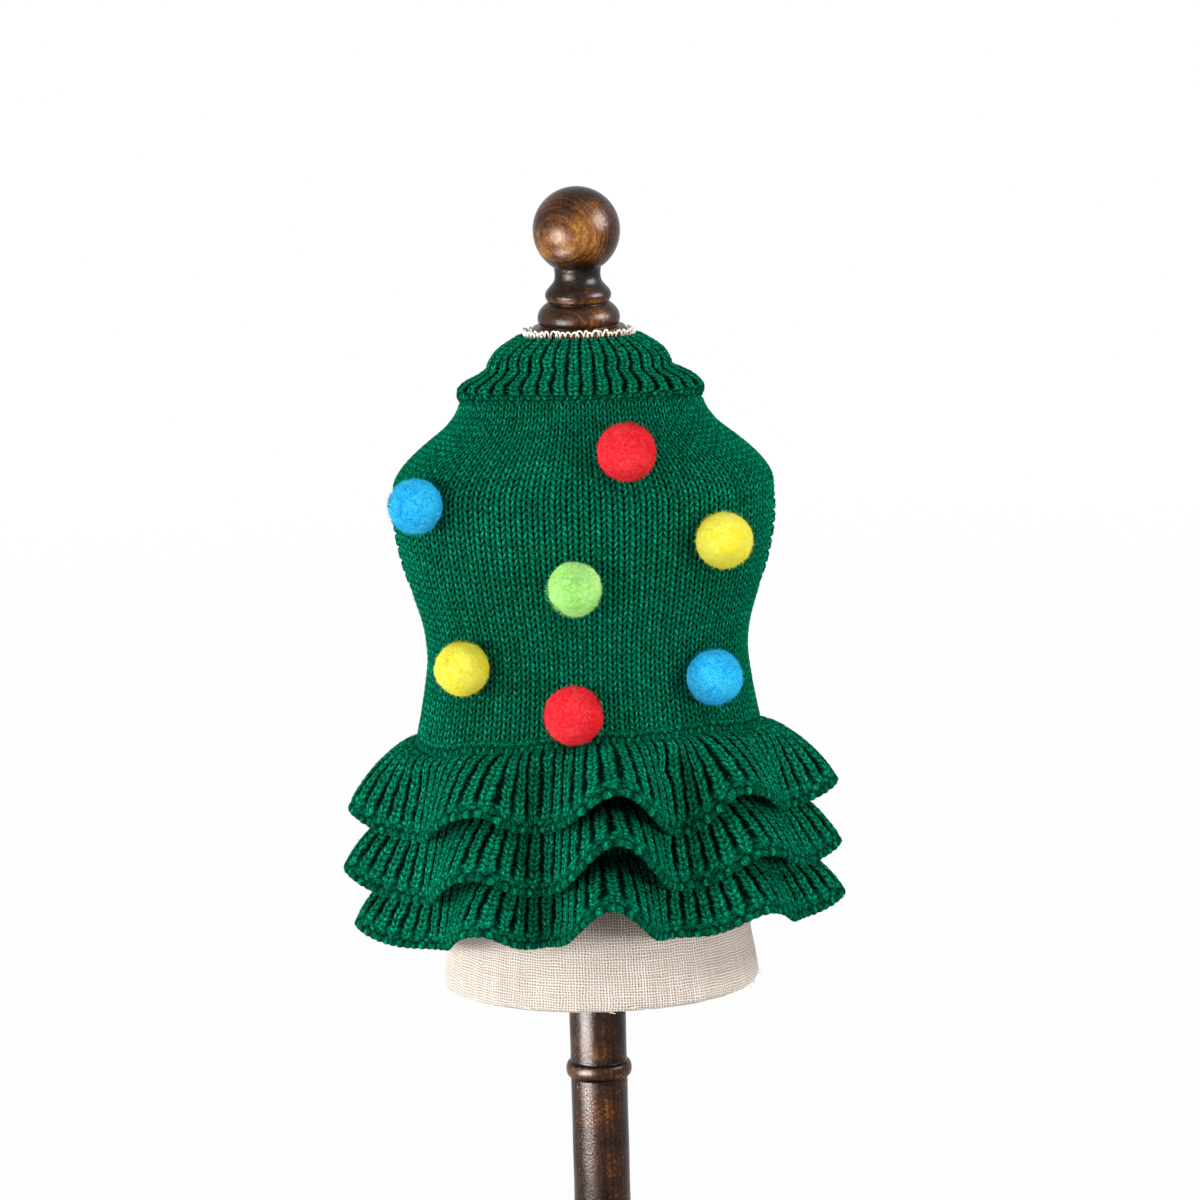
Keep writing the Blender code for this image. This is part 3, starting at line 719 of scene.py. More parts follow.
# %% How a panel lies
REFERENCE_HEIGHT = 330.0  # where the wales are evenly spaced
BODY_COURSES = 54
LEG_HOLE_REACH = 34.0     # degrees from the seam that the leg hole draws in
WAIST_LAP = 0.9           # how far the body's edge laps over the first ruffle
WAIST_SAG = 0.5           # how far that edge dips and lifts between its stitches
PLAIN_GROOVE = 0.12       # depth of the grooves between the wales of stockinette
BELLY_GROOVE = 0.85       # and between the ribs of the belly

Crease = namedtuple("Crease", "angle0 height0 angle1 height1 depth width")
BODY_CREASES = [          # soft troughs, and ridges where the depth is negative
    Crease(-84, 396, -52, 372, 0.9, 7.0),
    Crease(84, 392, 58, 374, 0.7, 8.0),
    Crease(-70, 350, -34, 334, -0.6, 9.0),
    Crease(78, 330, 44, 322, 0.6, 9.0),
    Crease(-88, 300, -58, 288, 0.8, 6.0),
    Crease(88, 312, 60, 284, 0.8, 7.0),
    Crease(-20, 286, 24, 280, 0.5, 5.0),
    Crease(150, 380, 205, 372, 0.8, 8.0),
    Crease(160, 300, 212, 290, 0.8, 7.0),
    Crease(-128, 315, -150, 300, 0.7, 7.0),
]


def creased(points):
    """How far the soft creases of the body push points of its cloth in."""
    push = np.zeros(points.shape[:2])
    for crease in BODY_CREASES:
        start = body_skin(crease.angle0, crease.height0)
        way = body_skin(crease.angle1, crease.height1) - start
        share = np.clip(((points - start) @ way) / (way @ way), 0.0, 1.0)
        gap = np.linalg.norm(points - start - share[..., None] * way, axis=-1)
        fade = 0.25 + 0.75 * np.sin(math.pi * share)
        push += crease.depth * fade * np.exp(-(gap / crease.width) ** 2)
    return push


def evenly_up(shares, climb, values):
    """Values at even shares of the climb up each wale, because every course is as high."""
    values = np.broadcast_to(values, climb.shape)
    return np.stack([np.interp(shares, climb[:, k] / climb[-1, k], values[:, k])
                     for k in range(climb.shape[1])], axis=1)


def panel_lie(middle, half_angle, wales, stitch):
    """The way a body panel lies, for knit_shell."""
    angles = middle + np.linspace(-half_angle, half_angle, 601)
    line = length_along(body_skin(angles, REFERENCE_HEIGHT))
    places = (line / line[-1] - 0.5) * wales
    calm = half_angle - LEG_HOLE_REACH

    def lay(wale, course):
        angle = np.interp(wale, places, angles)
        sag = WAIST_SAG * np.sin(angle * 0.31) * np.sin(angle * 0.17)
        low = waist_seam(angle) - WAIST_LAP + sag
        high = collar_seam(angle) - SEAM_GAP / 2
        share = np.linspace(0.0, 1.0, 161)[:, None]
        heights = low + (high - low) * share
        climb = length_along(body_skin(angle[None, :], heights))
        height = evenly_up(course / BODY_COURSES, climb, heights)
        aside = angle[None, :] - middle
        edge = half_angle - leg_hole_angle(height)
        drawn = calm + (np.abs(aside) - calm) * (edge - calm) / (half_angle - calm)
        aside = np.where(np.abs(aside) > calm, np.sign(aside) * drawn, aside)
        angle = middle + aside
        skin = body_skin(angle, height)
        out = directions(skin, False)[0]
        push = BODY_WALL / 2 + creased(skin)
        counted = np.interp(angle, angles, places) + wales / 2
        courses = np.broadcast_to(course[:, None], angle.shape)
        waist = 1.0 - ease((courses - 0.8) / 1.6)
        groove = (PLAIN_GROOVE if stitch is STOCKINETTE else BELLY_GROOVE) * (1.0 - waist)
        return Lie(skin - out * push[..., None], counted, courses, groove, waist)

    return lay


def panel_wales(middle, half_angle, stitch):
    angles = middle + np.linspace(-half_angle, half_angle, 601)
    around = length_along(body_skin(angles, REFERENCE_HEIGHT))[-1]
    return round(around / stitch.wale), around


BELLY_RIB = RIB._replace(wale=5.6, leg_out=1.35, leg_width=1.2, wander=0.03)
back_wales, back_width = panel_wales(0.0, SIDE_SEAM_ANGLE, STOCKINETTE)
belly_wales, belly_width = panel_wales(180.0, 180.0 - SIDE_SEAM_ANGLE, BELLY_RIB)
print("back panel, mm across:", round(back_width, 1), "belly panel:", round(belly_width, 1))

# %% [markdown]
# ## Green yarn
#
# The yarn is soft acrylic in a deep green. Light falls on the top of each leg and hardly
# reaches the holes, so a knit looks like bright strokes on a nearly black ground. The mesh
# has the relief of the stitches, and the same formula of the legs, now fed with sockets,
# darkens the holes with painted shade, lights the crests with a painted highlight, and
# sharpens their edges. The grooves between ribs get painted shade too, most of all in the
# ruffles' creases. Two finer things are only in the material: the plies, which run
# slantwise round the yarn, and the loose fibres that make it uneven.

# %% The yarn's colours and its material
# The yarn's colours run from painted shade in the holes to a painted highlight on the crests.
YARN_HOLE = (0.0003, 0.0035, 0.0022)
YARN_DEEP = (0.0004, 0.0280, 0.0135)
YARN_BODY = (0.0006, 0.1220, 0.0590)
YARN_CREST = (0.0040, 0.4950, 0.2780)
PLY_PITCH = 0.85          # millimetres from one ply to the next across the yarn


def green_knit(name, stitch, bumps_per_wale=1, brightness=0.93, fluff=2.0):
    """The material of a knit whose places are in the map named knit."""
    tree = Tree(name, Sheen_Weight=0.02, Sheen_Roughness=0.5, Sheen_Tint=(0.0, 0.9, 0.5, 1.0),
                Specular_IOR_Level=0.002)
    across, up, _ = tree.split(tree.node("ShaderNodeUVMap", {"uv_map": "knit"}))
    spread, purl, groove = tree.fabric()
    spot = tree.object_place()
    wale, course = wandered(across, up, stitch.wander)
    wale = wale + (tree.noise(spot, 420.0, 1.0) - 0.5) * 0.12
    course = course + (tree.noise(spot, 380.0, 1.0) - 0.5) * 0.22
    yarn = yarn_height(wale, course, stitch, spread, purl, bumps_per_wale)
    # Painted shade: the colour is darker in the grooves between ribs, the deeper the groove the
    # darker.
    back = (1.0 - groove * (1.0 - ridge(wale, stitch, spread)) * 0.75).limited()
    sideways = size_of(fraction(wale) - 0.5) * stitch.wale
    upwards = fraction(course) * stitch.course
    ply = sine((sideways * 0.7 + upwards * 0.75) * (2.0 * math.pi / PLY_PITCH))
    fibres = tree.noise(tree.stretched(spot, (1550.0, 1550.0, 1100.0)), 1.0, 3.0, 0.70, 0.8)
    stitches = tree.noise(spot, 230.0, 1.0)
    patches = tree.noise(spot, 26.0, 2.0)
    # Painted shade and highlight: the higher the yarn, the lighter its colour.
    light = yarn * (0.76 + ply * 0.06 + (fibres - 0.5) * fluff + (stitches - 0.5) * 0.25)
    light = light + (fibres - 0.5) * 0.35 + (patches - 0.5) * 0.12
    light = (light * (0.15 + back * 0.85) * brightness).limited()
    colour = tree.ramp(light, (0.10, YARN_HOLE), (0.38, YARN_DEEP), (0.70, YARN_BODY),
                       (1.0, YARN_CREST))
    relief = yarn * (0.3 + back * 0.7) + ply * 0.05 + (fibres - 0.5) * 0.70
    return tree.finish(Base_Color=colour, Roughness=0.92 - yarn * 0.2,
                       Normal=tree.bump(relief, 0.0010, 0.85))


stockinette_finish = green_knit("green_stockinette", STOCKINETTE, bumps_per_wale=2,
                                brightness=0.945, fluff=1.5)
rib_finish = green_knit("green_rib", RIB, bumps_per_wale=2)
collar_finish = green_knit("green_collar_rib", RIB, bumps_per_wale=3)
belly_finish = green_knit("green_belly_rib", BELLY_RIB, bumps_per_wale=2)
print("nodes in one knit material:", len(stockinette_finish.node_tree.nodes))

# %% Knit the back and the belly
def knit_panel(node, middle, half_angle, wales, stitch, finish):
    lie = panel_lie(middle, half_angle, wales, stitch)
    mesh = knit_shell(node + "_knit", lie, (-wales / 2, wales / 2), BODY_COURSES, BODY_WALL,
                      stitch, fine=(6, 4), coarse=(2, 1), closed=False, bumps_per_wale=2)
    return make_piece(node + "_knit", mesh, finish, "knit_green", node)


back = knit_panel("back_panel", 0.0, SIDE_SEAM_ANGLE, back_wales, STOCKINETTE,
                  stockinette_finish)
belly = knit_panel("belly_panel", 180.0, 180.0 - SIDE_SEAM_ANGLE, belly_wales, BELLY_RIB,
                   belly_finish)

# %% [markdown]
# ## The collar
#
# The collar is knitted in a deep rib: one wale stands out as a round rope of stitches and
# the next sinks away behind it. It is fuller than the neck, so it settles in two soft rolls
# and its ribs spread at the sides. Two rows of purl bumps mark the seam, and the cast-off
# edge at the top rolls inwards, one small scallop for each rib.

# %% Knit the collar
COLLAR_TOP_LIFT = 3.4     # how much higher its upper edge stands at the back
COLLAR_LAP = 0.5          # how far the collar's lower edge laps over the body
COLLAR_RIBS = 38
COLLAR_COURSES = 17
COLLAR_FAN = 0.26         # how much wider the ribs lie at the sides, near the seam

Bulge = namedtuple("Bulge", "angle up height reach_angle reach_up")
COLLAR_BULGES = [         # where the soft collar swells out, or sinks where height is negative
    Bulge(0, 0.80, 0.9, 1000, 0.13),
    Bulge(-84, 0.16, 1.2, 30, 0.16),
    Bulge(-62, 0.36, -0.9, 22, 0.10),
    Bulge(-78, 0.54, 1.3, 26, 0.12),
    Bulge(80, 0.20, 1.0, 24, 0.14),
    Bulge(92, 0.42, 1.1, 18, 0.09),
    Bulge(66, 0.58, 0.9, 24, 0.10),
    Bulge(12, 0.30, 0.6, 30, 0.14),
    Bulge(-30, 0.50, -0.5, 20, 0.12),
    Bulge(150, 0.22, 0.9, 30, 0.14),
    Bulge(205, 0.48, -0.7, 26, 0.12),
]


def collar_top(angle):
    """Height of the collar's edge, which the fingers pull up a little at the back."""
    return COLLAR_TOP_HEIGHT + COLLAR_TOP_LIFT * (0.5 + 0.5 * np.cos(np.radians(angle)))


def collar_skin(angle, up):
    low = collar_seam(angle) - COLLAR_LAP
    return oval(angle, low + (collar_top(angle) - low) * up, *sizes_at(COLLAR, "up", up))


def bulged(angle, up, bulges):
    swell = np.zeros(np.broadcast(angle, up).shape)
    for bulge in bulges:
        aside = np.mod(angle - bulge.angle + 180.0, 360.0) - 180.0
        swell += bulge.height * np.exp(-(aside / bulge.reach_angle) ** 2
                                       - ((up - bulge.up) / bulge.reach_up) ** 2)
    return swell


def collar_lay(wale, course):
    angles = np.linspace(-180.0, 180.0, 721)
    line = length_along(collar_skin(angles, np.full(angles.shape, 0.15)))
    angle = np.interp(wale, line / line[-1] * COLLAR_RIBS, angles)
    ups = np.linspace(0.0, 1.0, 161)[:, None]
    climb = length_along(collar_skin(angle[None, :], ups))
    up = evenly_up(course / COLLAR_COURSES, climb, ups)
    fan = COLLAR_FAN * (1.0 - ease(up / 0.75))
    angle = angle - np.degrees(fan / 2.0 * np.sin(2.0 * np.radians(angle)))
    skin = collar_skin(angle, up)
    out = directions(skin, True)[0]
    push = COLLAR_WALL / 2 - bulged(angle, up, COLLAR_BULGES)
    courses = np.broadcast_to(course[:, None], up.shape)
    seam_rows = 1.0 - ease((courses - 2.0) / 0.5)
    groove = (0.38 + 0.42 * ease((up - 0.25) / 0.3)) * (1.0 - seam_rows)
    return Lie(skin - out * push[..., None], np.broadcast_to(wale, up.shape), courses, groove,
               seam_rows)


collar_mesh = knit_shell("collar_knit", collar_lay, (0, COLLAR_RIBS), COLLAR_COURSES,
                         COLLAR_WALL, RIB, fine=(10, 5), coarse=(4, 1), closed=True,
                         bumps_per_wale=3)
collar = make_piece("collar_knit", collar_mesh, collar_finish, "knit_green", "collar")

# %% [markdown]
# ## The form under the dress
#
# The ruffles hang from the waist over the linen form, so the form's shape comes first. Below
# the waist it has its own sections, and above it lies just inside the sweater body.

# %% Shape of the form
FORM_FOOT = [
    Section(153, 72.4, 65.8),
    Section(163, 71.2, 65.0),
    Section(175, 69.6, 64.0),
    Section(195, 69.4, 62.2),
    Section(217, 72.6, 59.6),
    Section(241, 73.8, 56.6),
]
FORM_NECK = [
    Section(415, 48.0, 36.6),
    Section(422, 41.0, 32.4),
    Section(429, 32.0, 27.0),
    Section(435, 26.4, 22.6),
    Section(441, 24.2, 20.4),
    Section(448, 23.8, 20.0),
]
FORM_WAIST_HEIGHT = 266.0
FORM_SHOULDER_HEIGHT = 408.0
FORM_BOTTOM = 150.0
FORM_TOP = 449.5
FORM_SHIFT = 2.5          # how far the foot lies to the right, easing off up to the waist
FORM_SHIFT_REACH = 110.0


def inside_body(height):
    """The form's section under the sweater body, clear of the cloth's inner face."""
    below, here, above = (sizes_at(BODY, "height", height + step) for step in (-2.0, 0.0, 2.0))
    sizes = []
    for side in (0, 1):
        slope = (above[side] - below[side]) / 4.0
        sizes.append(float(here[side]) - (BODY_WALL + EASE) * math.hypot(1.0, slope))
    return Section(height, *sizes)


FORM = (FORM_FOOT
        + [inside_body(row.height) for row in BODY
           if FORM_WAIST_HEIGHT <= row.height <= FORM_SHOULDER_HEIGHT]
        + FORM_NECK)


def form_centre(height):
    return FORM_SHIFT * (1.0 - ease((height - FORM_BOTTOM) / FORM_SHIFT_REACH))


def form_skin(angle, height, outwards=0.0):
    half_width, half_depth = sizes_at(FORM, "height", height)
    return oval(angle, height, half_width + outwards, half_depth + outwards, form_centre(height))


print("sections of the form:", len(FORM))

# %% [markdown]
# ## Three ruffles
#
# Each ruffle is a straight ribbed strip, about half as long again as the waist, gathered on
# its upper edge. It leaves the seam almost level, turns down over a short knee, and hangs in
# waves. A table gives each crest and valley its angle round the dress, how far it swings out
# and how long it hangs, and the strip is walked down from its seam in short steps. On the
# crests the rib opens, so its grooves are wide and dark. In the valleys it closes up. The
# hem is a cast-off row, a chain of round bumps that catches the light.

# %% Folds of the ruffles
Fold = namedtuple("Fold", "angle flare length")
TIERS = {
    "ruffle_tier_1": [
        Fold(-90, 50, 46.5), Fold(-61, 20, 42.5), Fold(-28.5, 56, 38.5), Fold(-15.5, 20, 40),
        Fold(6, 73, 42.5), Fold(26, 20, 46.5), Fold(36.5, 62, 42.5), Fold(67.5, 29, 42.5),
        Fold(90, 54, 45.5), Fold(117, 23, 42.5), Fold(146, 56, 42.5), Fold(171, 21, 42.5),
        Fold(197, 61, 42.5), Fold(234, 20, 42.5),
    ],
    "ruffle_tier_2": [
        Fold(-90, 49, 49), Fold(-60, 16, 42.5), Fold(-29.5, 50, 38.5), Fold(-15, 17, 39.5),
        Fold(5.4, 76, 40), Fold(26, 17, 42.5), Fold(42.5, 55, 42.5), Fold(71, 35, 44),
        Fold(90, 50, 46.5), Fold(118, 17, 42.5), Fold(144, 57, 42.5), Fold(170, 18, 42.5),
        Fold(199, 62, 42.5), Fold(233, 15, 42.5),
    ],
    "ruffle_tier_3": [
        Fold(-90, 47, 48), Fold(-57, 13, 37), Fold(-30, 49, 37.5), Fold(-15.5, 10, 37),
        Fold(3.5, 69, 39), Fold(24, 10, 38), Fold(45, 52, 42), Fold(68, 33, 42),
        Fold(90, 53, 47), Fold(120, 13, 40), Fold(147, 55, 41), Fold(172, 10, 39),
        Fold(197, 59, 41), Fold(232, 11, 40),
    ],
}
CREASES = {                # sharp troughs between the folds, placed from the hem at 0 up to 1
    "ruffle_tier_1": [
        Bulge(24.5, 0.66, -4.2, 5.0, 0.15), Bulge(-14, 0.62, -2.2, 4.0, 0.24),
        Bulge(-62, 0.60, -1.6, 6.0, 0.26), Bulge(118, 0.62, -2.4, 5.0, 0.24),
        Bulge(172, 0.58, -1.8, 6.0, 0.26), Bulge(232, 0.64, -2.6, 5.0, 0.24),
    ],
    "ruffle_tier_2": [
        Bulge(22, 0.40, -1.2, 4.0, 0.20), Bulge(-17, 0.42, -1.0, 4.0, 0.20),
        Bulge(112, 0.40, -1.2, 5.0, 0.20), Bulge(228, 0.42, -1.0, 5.0, 0.20),
    ],
    "ruffle_tier_3": [
        Bulge(28, 0.38, -0.9, 4.0, 0.20), Bulge(-11, 0.40, -1.0, 3.5, 0.20),
        Bulge(126, 0.40, -0.9, 5.0, 0.20), Bulge(176, 0.38, -0.8, 5.0, 0.20),
    ],
}
TIER_KNEE = {"ruffle_tier_1": 12.5, "ruffle_tier_2": 4.0, "ruffle_tier_3": 3.5}
TIER_STEP = 25.5          # from one ruffle's seam down to the next
EDGE_DIP = 0.5            # how far a ruffle's edge lies under its seam
RIM_CLEARANCE = 1.2       # between the plain tube and the two ruffles on it
SEAM_SWING = 94.0         # degrees from straight down at which a strip leaves its seam
CREST_CURL = 20.0         # how many degrees a crest curls on its way down
VALLEY_FLARE = 20.0       # a fold with this flare or less doesn't curl
CREST_RISE = 30.0         # and one with this much more curls fully
STRIP_STEPS = 120         # short steps from the seam to the hem
RIB_COUNT_STEP = 84       # the step at which the ribs of the strip are counted
TIER_COURSES = 15
SCALLOP = 0.75            # how deep the hem is scalloped
CLOSED_RIB = 7.1          # millimetres from rib to rib in a valley
OPEN_RIB = 8.4            # and on a crest
CLOSED_FLARE = 28.0       # a fold with this flare or less keeps its ribs closed
OPEN_RISE = 30.0          # and one with this much more has them fully open
RUFFLE_GROOVE = 0.62      # depth of the grooves between its ribs
GROOVE_SHARES = (0.35, 1.25)  # shallowest and deepest groove, as shares of that
GROOVE_DRAWS = 200        # more than a ruffle has ribs


def tier_start(tier, angle):
    """Middle of a ruffle's wall where it is sewn on."""
    drop = TIER_STEP * (tier - 1)
    height = waist_seam(angle) - SEAM_GAP - TIER_WALL / 2 - EDGE_DIP - drop
    out = EASE + BODY_WALL / 2 if tier == 1 else EASE + BASE_TUBE_WALL + RIM_CLEARANCE
    return form_skin(angle, height, out)


def strip_down(name, tier, angle):
    """Points down the middle of a ruffle's wall at each angle, from the seam to the hem."""
    folds = TIERS[name]
    flare = round_the_turn(column_of(folds, "angle"), column_of(folds, "flare"), angle)
    length = round_the_turn(column_of(folds, "angle"), column_of(folds, "length"), angle)
    knee = TIER_KNEE[name]
    hang = flare - (SEAM_SWING - flare) * knee / (2.0 * length)
    curl = np.minimum(CREST_CURL * ease((flare - VALLEY_FLARE) / CREST_RISE), SEAM_SWING - hang)
    turn = np.radians(angle)
    away = np.stack([np.sin(turn), -np.cos(turn), np.zeros(len(turn))], axis=-1)
    point = tier_start(tier, angle)
    points = [point]
    for step in range(STRIP_STEPS):
        along = step / STRIP_STEPS
        swing = hang + curl * (1.0 - 2.0 * along)
        swing += (SEAM_SWING - swing) * (1.0 - ease(along * length / knee))
        swing = np.radians(swing)[:, None]
        heading = away * np.sin(swing) - np.array([0.0, 0.0, 1.0]) * np.cos(swing)
        point = point + heading * (length / STRIP_STEPS)[:, None]
        points.append(point)
    return np.stack(points), flare, length


def count_ribs(name, tier):
    """Ribs round a ruffle, and the angle at which each of them lies."""
    angles = np.linspace(-180.0, 180.0, 2881)
    points, flare, length = strip_down(name, tier, angles)
    steps = np.linalg.norm(np.diff(points[RIB_COUNT_STEP], axis=0), axis=-1)
    open_share = ease((flare[1:] - CLOSED_FLARE) / OPEN_RISE)
    pitch = CLOSED_RIB + (OPEN_RIB - CLOSED_RIB) * open_share
    ribs = np.concatenate([[0.0], np.cumsum(steps / pitch)])
    total = round(ribs[-1])
    return total, angles, ribs / ribs[-1] * total, steps.sum(), length.mean()


def tier_lay(name, tier, places, angles):
    """The way a ruffle lies, for knit_shell; its ribs have the given places at these angles."""
    own_groove = np.random.default_rng(tier).uniform(*GROOVE_SHARES, GROOVE_DRAWS)

    def lay(wale, course):
        angle = np.interp(wale, places, angles)
        points = strip_down(name, tier, angle)[0]
        level = (1.0 - course / TIER_COURSES) * (len(points) - 1)
        row = np.clip(np.floor(level).astype(int), 0, len(points) - 2)
        share = (level - row)[:, None, None]
        lying = points[row] * (1.0 - share) + points[row + 1] * share
        crease = bulged(angle[None, :], (course / TIER_COURSES)[:, None], CREASES[name])
        lying = lying + directions(lying, True)[0] * crease[..., None]
        shape = lying.shape[:2]
        courses = np.broadcast_to(course[:, None], shape)
        # The last row is a chain of bumps, so the edge below it is finely scalloped.
        down = unit(points[-1] - points[-2])
        scallop = SCALLOP * size_of(np.sin(2.0 * math.pi * wale)) * limited(1.0 - courses)
        lying = lying + down * scallop[..., None]
        hem = 1.0 - 0.5 * ease((courses - 1.0) / 0.8) - 0.5 * ease((courses - 2.4) / 1.4)
        # The grooves close towards the hem, and no two are equally deep.
        own = own_groove[np.round(wale).astype(int) % GROOVE_DRAWS]
        groove = RUFFLE_GROOVE * own * (1.0 - 0.8 * hem)
        # In a crease the groove is deeper, so the material also paints it darker as shade.
        groove = groove * (0.35 + 0.65 * ease((courses - 2.5) / 4.0)) - 0.12 * crease
        return Lie(lying, np.broadcast_to(wale, shape), courses, groove, hem)

    return lay


# %% Knit the ruffles
ruffle_sizes = {}
for tier, name in enumerate(TIERS, start=1):
    ribs, angles, places, strip, drop = count_ribs(name, tier)
    mesh = knit_shell(name + "_knit", tier_lay(name, tier, places, angles), (0, ribs),
                      TIER_COURSES, TIER_WALL, RIB, fine=(8, 4), coarse=(4, 2), closed=True,
                      bumps_per_wale=2)
    ruffle = make_piece(name + "_knit", mesh, rib_finish, "knit_green", name)
    ruffle_sizes[ruffle] = (strip, drop)
    print(f"{name}: {ribs} ribs on a strip {strip:.0f} mm long")

# %% [markdown]
# ## Leg bands and the tube under the ruffles
#
# Each leg hole is bound by a narrow band of rib. It is a strip folded over the edge, so its
# section is a rounded block, and its ribs run across it like spokes. The lower two ruffles
# need cloth to hang from: a plain tube of stockinette under them, hardly ever seen.

# %% Bind the leg holes
BAND_RIM = 2.8            # how far the band reaches over the edge of the hole
BAND_PROUD = 3.6          # how far it stands off the body
BAND_RIBS = 30
BAND_SIDES = 20
BAND_COURSES = 6
BAND_STEPS = 8            # columns of the mesh for each rib
BAND_CUT = 10.0           # width of the strip that is folded over the edge


def band_skin(side, turn, reach, lift):
    """Points over the edge of a leg hole: reach goes away from the hole, lift off the body."""
    height = LEG_HOLE_HEIGHT + (LEG_HOLE_HALF_HEIGHT + reach) * np.sin(turn)
    width = (LEG_HOLE_HALF_WIDTH + reach) * np.cos(turn)
    angle = side * (SIDE_SEAM_ANGLE + width / degree_at(SIDE_SEAM_ANGLE, height))
    out = unit(np.cross(body_skin(angle + 0.5, height) - body_skin(angle - 0.5, height),
                        body_skin(angle, height + 0.5) - body_skin(angle, height - 0.5)))
    return body_skin(angle, height) + out * lift[..., None]


def bind_leg_hole(name, side, node):
    columns = BAND_RIBS * BAND_STEPS
    turn = 2.0 * math.pi * np.arange(columns) / columns
    across = 2.0 * math.pi * np.arange(BAND_SIDES) / BAND_SIDES
    wale = np.broadcast_to(np.arange(columns) / BAND_STEPS, (BAND_SIDES, columns))
    course = np.arange(BAND_SIDES) / BAND_SIDES * BAND_COURSES
    course = np.broadcast_to(course[:, None], wale.shape)
    relief = 0.55 * (legs(wale, course, BELLY_RIB) - 0.8) - 0.7 * (1.0 - ridge(wale, BELLY_RIB))
    # A rounded block: the powers square up a circle.
    x = np.sign(np.cos(across)) * np.abs(np.cos(across)) ** 0.6
    y = np.sign(np.sin(across)) * np.abs(np.sin(across)) ** 0.6
    reach = -SEAM_GAP - BAND_RIM / 2 + x[:, None] * (BAND_RIM / 2 + relief * 0.5)
    half_lift = (BAND_PROUD + BODY_WALL) / 2
    lift = (BAND_PROUD - BODY_WALL) / 2 + y[:, None] * (half_lift + relief)
    points = band_skin(side, turn[None, :], reach, lift)
    number = np.arange(BAND_SIDES * columns).reshape(BAND_SIDES, columns)
    quads = np.stack([number, np.roll(number, -1, 1), np.roll(np.roll(number, -1, 1), -1, 0),
                      np.roll(number, -1, 0)], -1).reshape(-1, 4)
    if side < 0:
        quads = quads[:, ::-1]
    fabric = np.stack([np.ones(wale.shape), np.zeros(wale.shape), np.full(wale.shape, 0.8)], -1)
    mesh = make_mesh(name, points.reshape(-1, 3), quads, [],
                     knit=np.stack([wale, course], -1).reshape(-1, 2), wrap=BAND_RIBS,
                     fabric=fabric.reshape(-1, 3))
    print(f"{name}: {len(quads) * 2} triangles")
    return make_piece(name, mesh, belly_finish, "knit_green", node)


leg_bands = [bind_leg_hole("leg_band_right_knit", 1.0, "leg_band_right"),
             bind_leg_hole("leg_band_left_knit", -1.0, "leg_band_left")]

# %% Knit the tube under the ruffles
BASE_TUBE_TOP = 2 * SEAM_GAP + EDGE_DIP + TIER_WALL + 1.4  # both are drops from the waist seam
BASE_TUBE_BOTTOM = 2 * TIER_STEP + 12.0
BASE_TUBE_COURSES = 19
BASE_TUBE_WALES = 92


def base_tube_lay(wale, course):
    angle = wale / BASE_TUBE_WALES * 360.0 - 180.0
    share = (course / BASE_TUBE_COURSES)[:, None]
    drop = BASE_TUBE_BOTTOM + (BASE_TUBE_TOP - BASE_TUBE_BOTTOM) * share
    points = form_skin(angle[None, :], waist_seam(angle)[None, :] - drop,
                       EASE + BASE_TUBE_WALL / 2)
    shape = points.shape[:2]
    return Lie(points, np.broadcast_to(wale, shape), np.broadcast_to(course[:, None], shape),
               np.full(shape, PLAIN_GROOVE), np.zeros(shape))


tube_mesh = knit_shell("skirt_base_knit", base_tube_lay, (0, BASE_TUBE_WALES), BASE_TUBE_COURSES,
                       BASE_TUBE_WALL - 2 * YARN_PROUD, STOCKINETTE, fine=(4, 2), coarse=(1, 1),
                       closed=True)
base_tube = make_piece("skirt_base_knit", tube_mesh, stockinette_finish, "knit_green",
                       "skirt_base")

# %% [markdown]
# ### Loose fibres
#
# Spun yarn is never smooth: short fibres stand off it and soften every outline of the knit.
# Each one is a thin closed spike with its foot inside the yarn. A seeded draw picks the
# faces they grow from, by area, so the nap is even however finely a mesh is divided.

# %% Let fibres stand off the yarn
NAP_DENSITY = 0.085       # fibres on a square millimetre of the outer faces
NAP_THICKNESS = 0.105
NAP_TILT = 0.45           # how far a fibre may lean away from straight out
NAP_SHORTEST = 0.50
NAP_LONGER = 1.70         # how much longer the longest are
NAP_FOOT = 0.25           # how deep a fibre's foot is in the yarn
SPIKE_FACES = np.array([(0, 1, 3), (1, 2, 3), (2, 0, 3), (0, 2, 1)])


def spikes_from(count, start=0):
    """Faces of closed spikes: each has three points round its foot and one at its tip."""
    return (SPIKE_FACES + start + 4 * np.arange(count)[:, None, None]).reshape(-1, 3)


def nap_roots(piece, chance):
    """Places and directions of the fibres on the outer faces of one piece."""
    faces = piece.data.polygons
    places = np.empty(3 * len(faces))
    normals = np.empty(3 * len(faces))
    areas = np.empty(len(faces))
    faces.foreach_get("center", places)
    faces.foreach_get("normal", normals)
    faces.foreach_get("area", areas)
    places = places.reshape(-1, 3) / MM
    normals = normals.reshape(-1, 3)
    # Faces that look away from the middle or up are seen, and the others stay bare.
    aside = unit(places * (1.0, 1.0, 0.0))
    outer = (normals * aside).sum(axis=1) + 0.7 * normals[:, 2] > 0.05
    grows = outer & (chance.random(len(faces)) < areas / MM ** 2 * NAP_DENSITY)
    return places[grows], normals[grows]


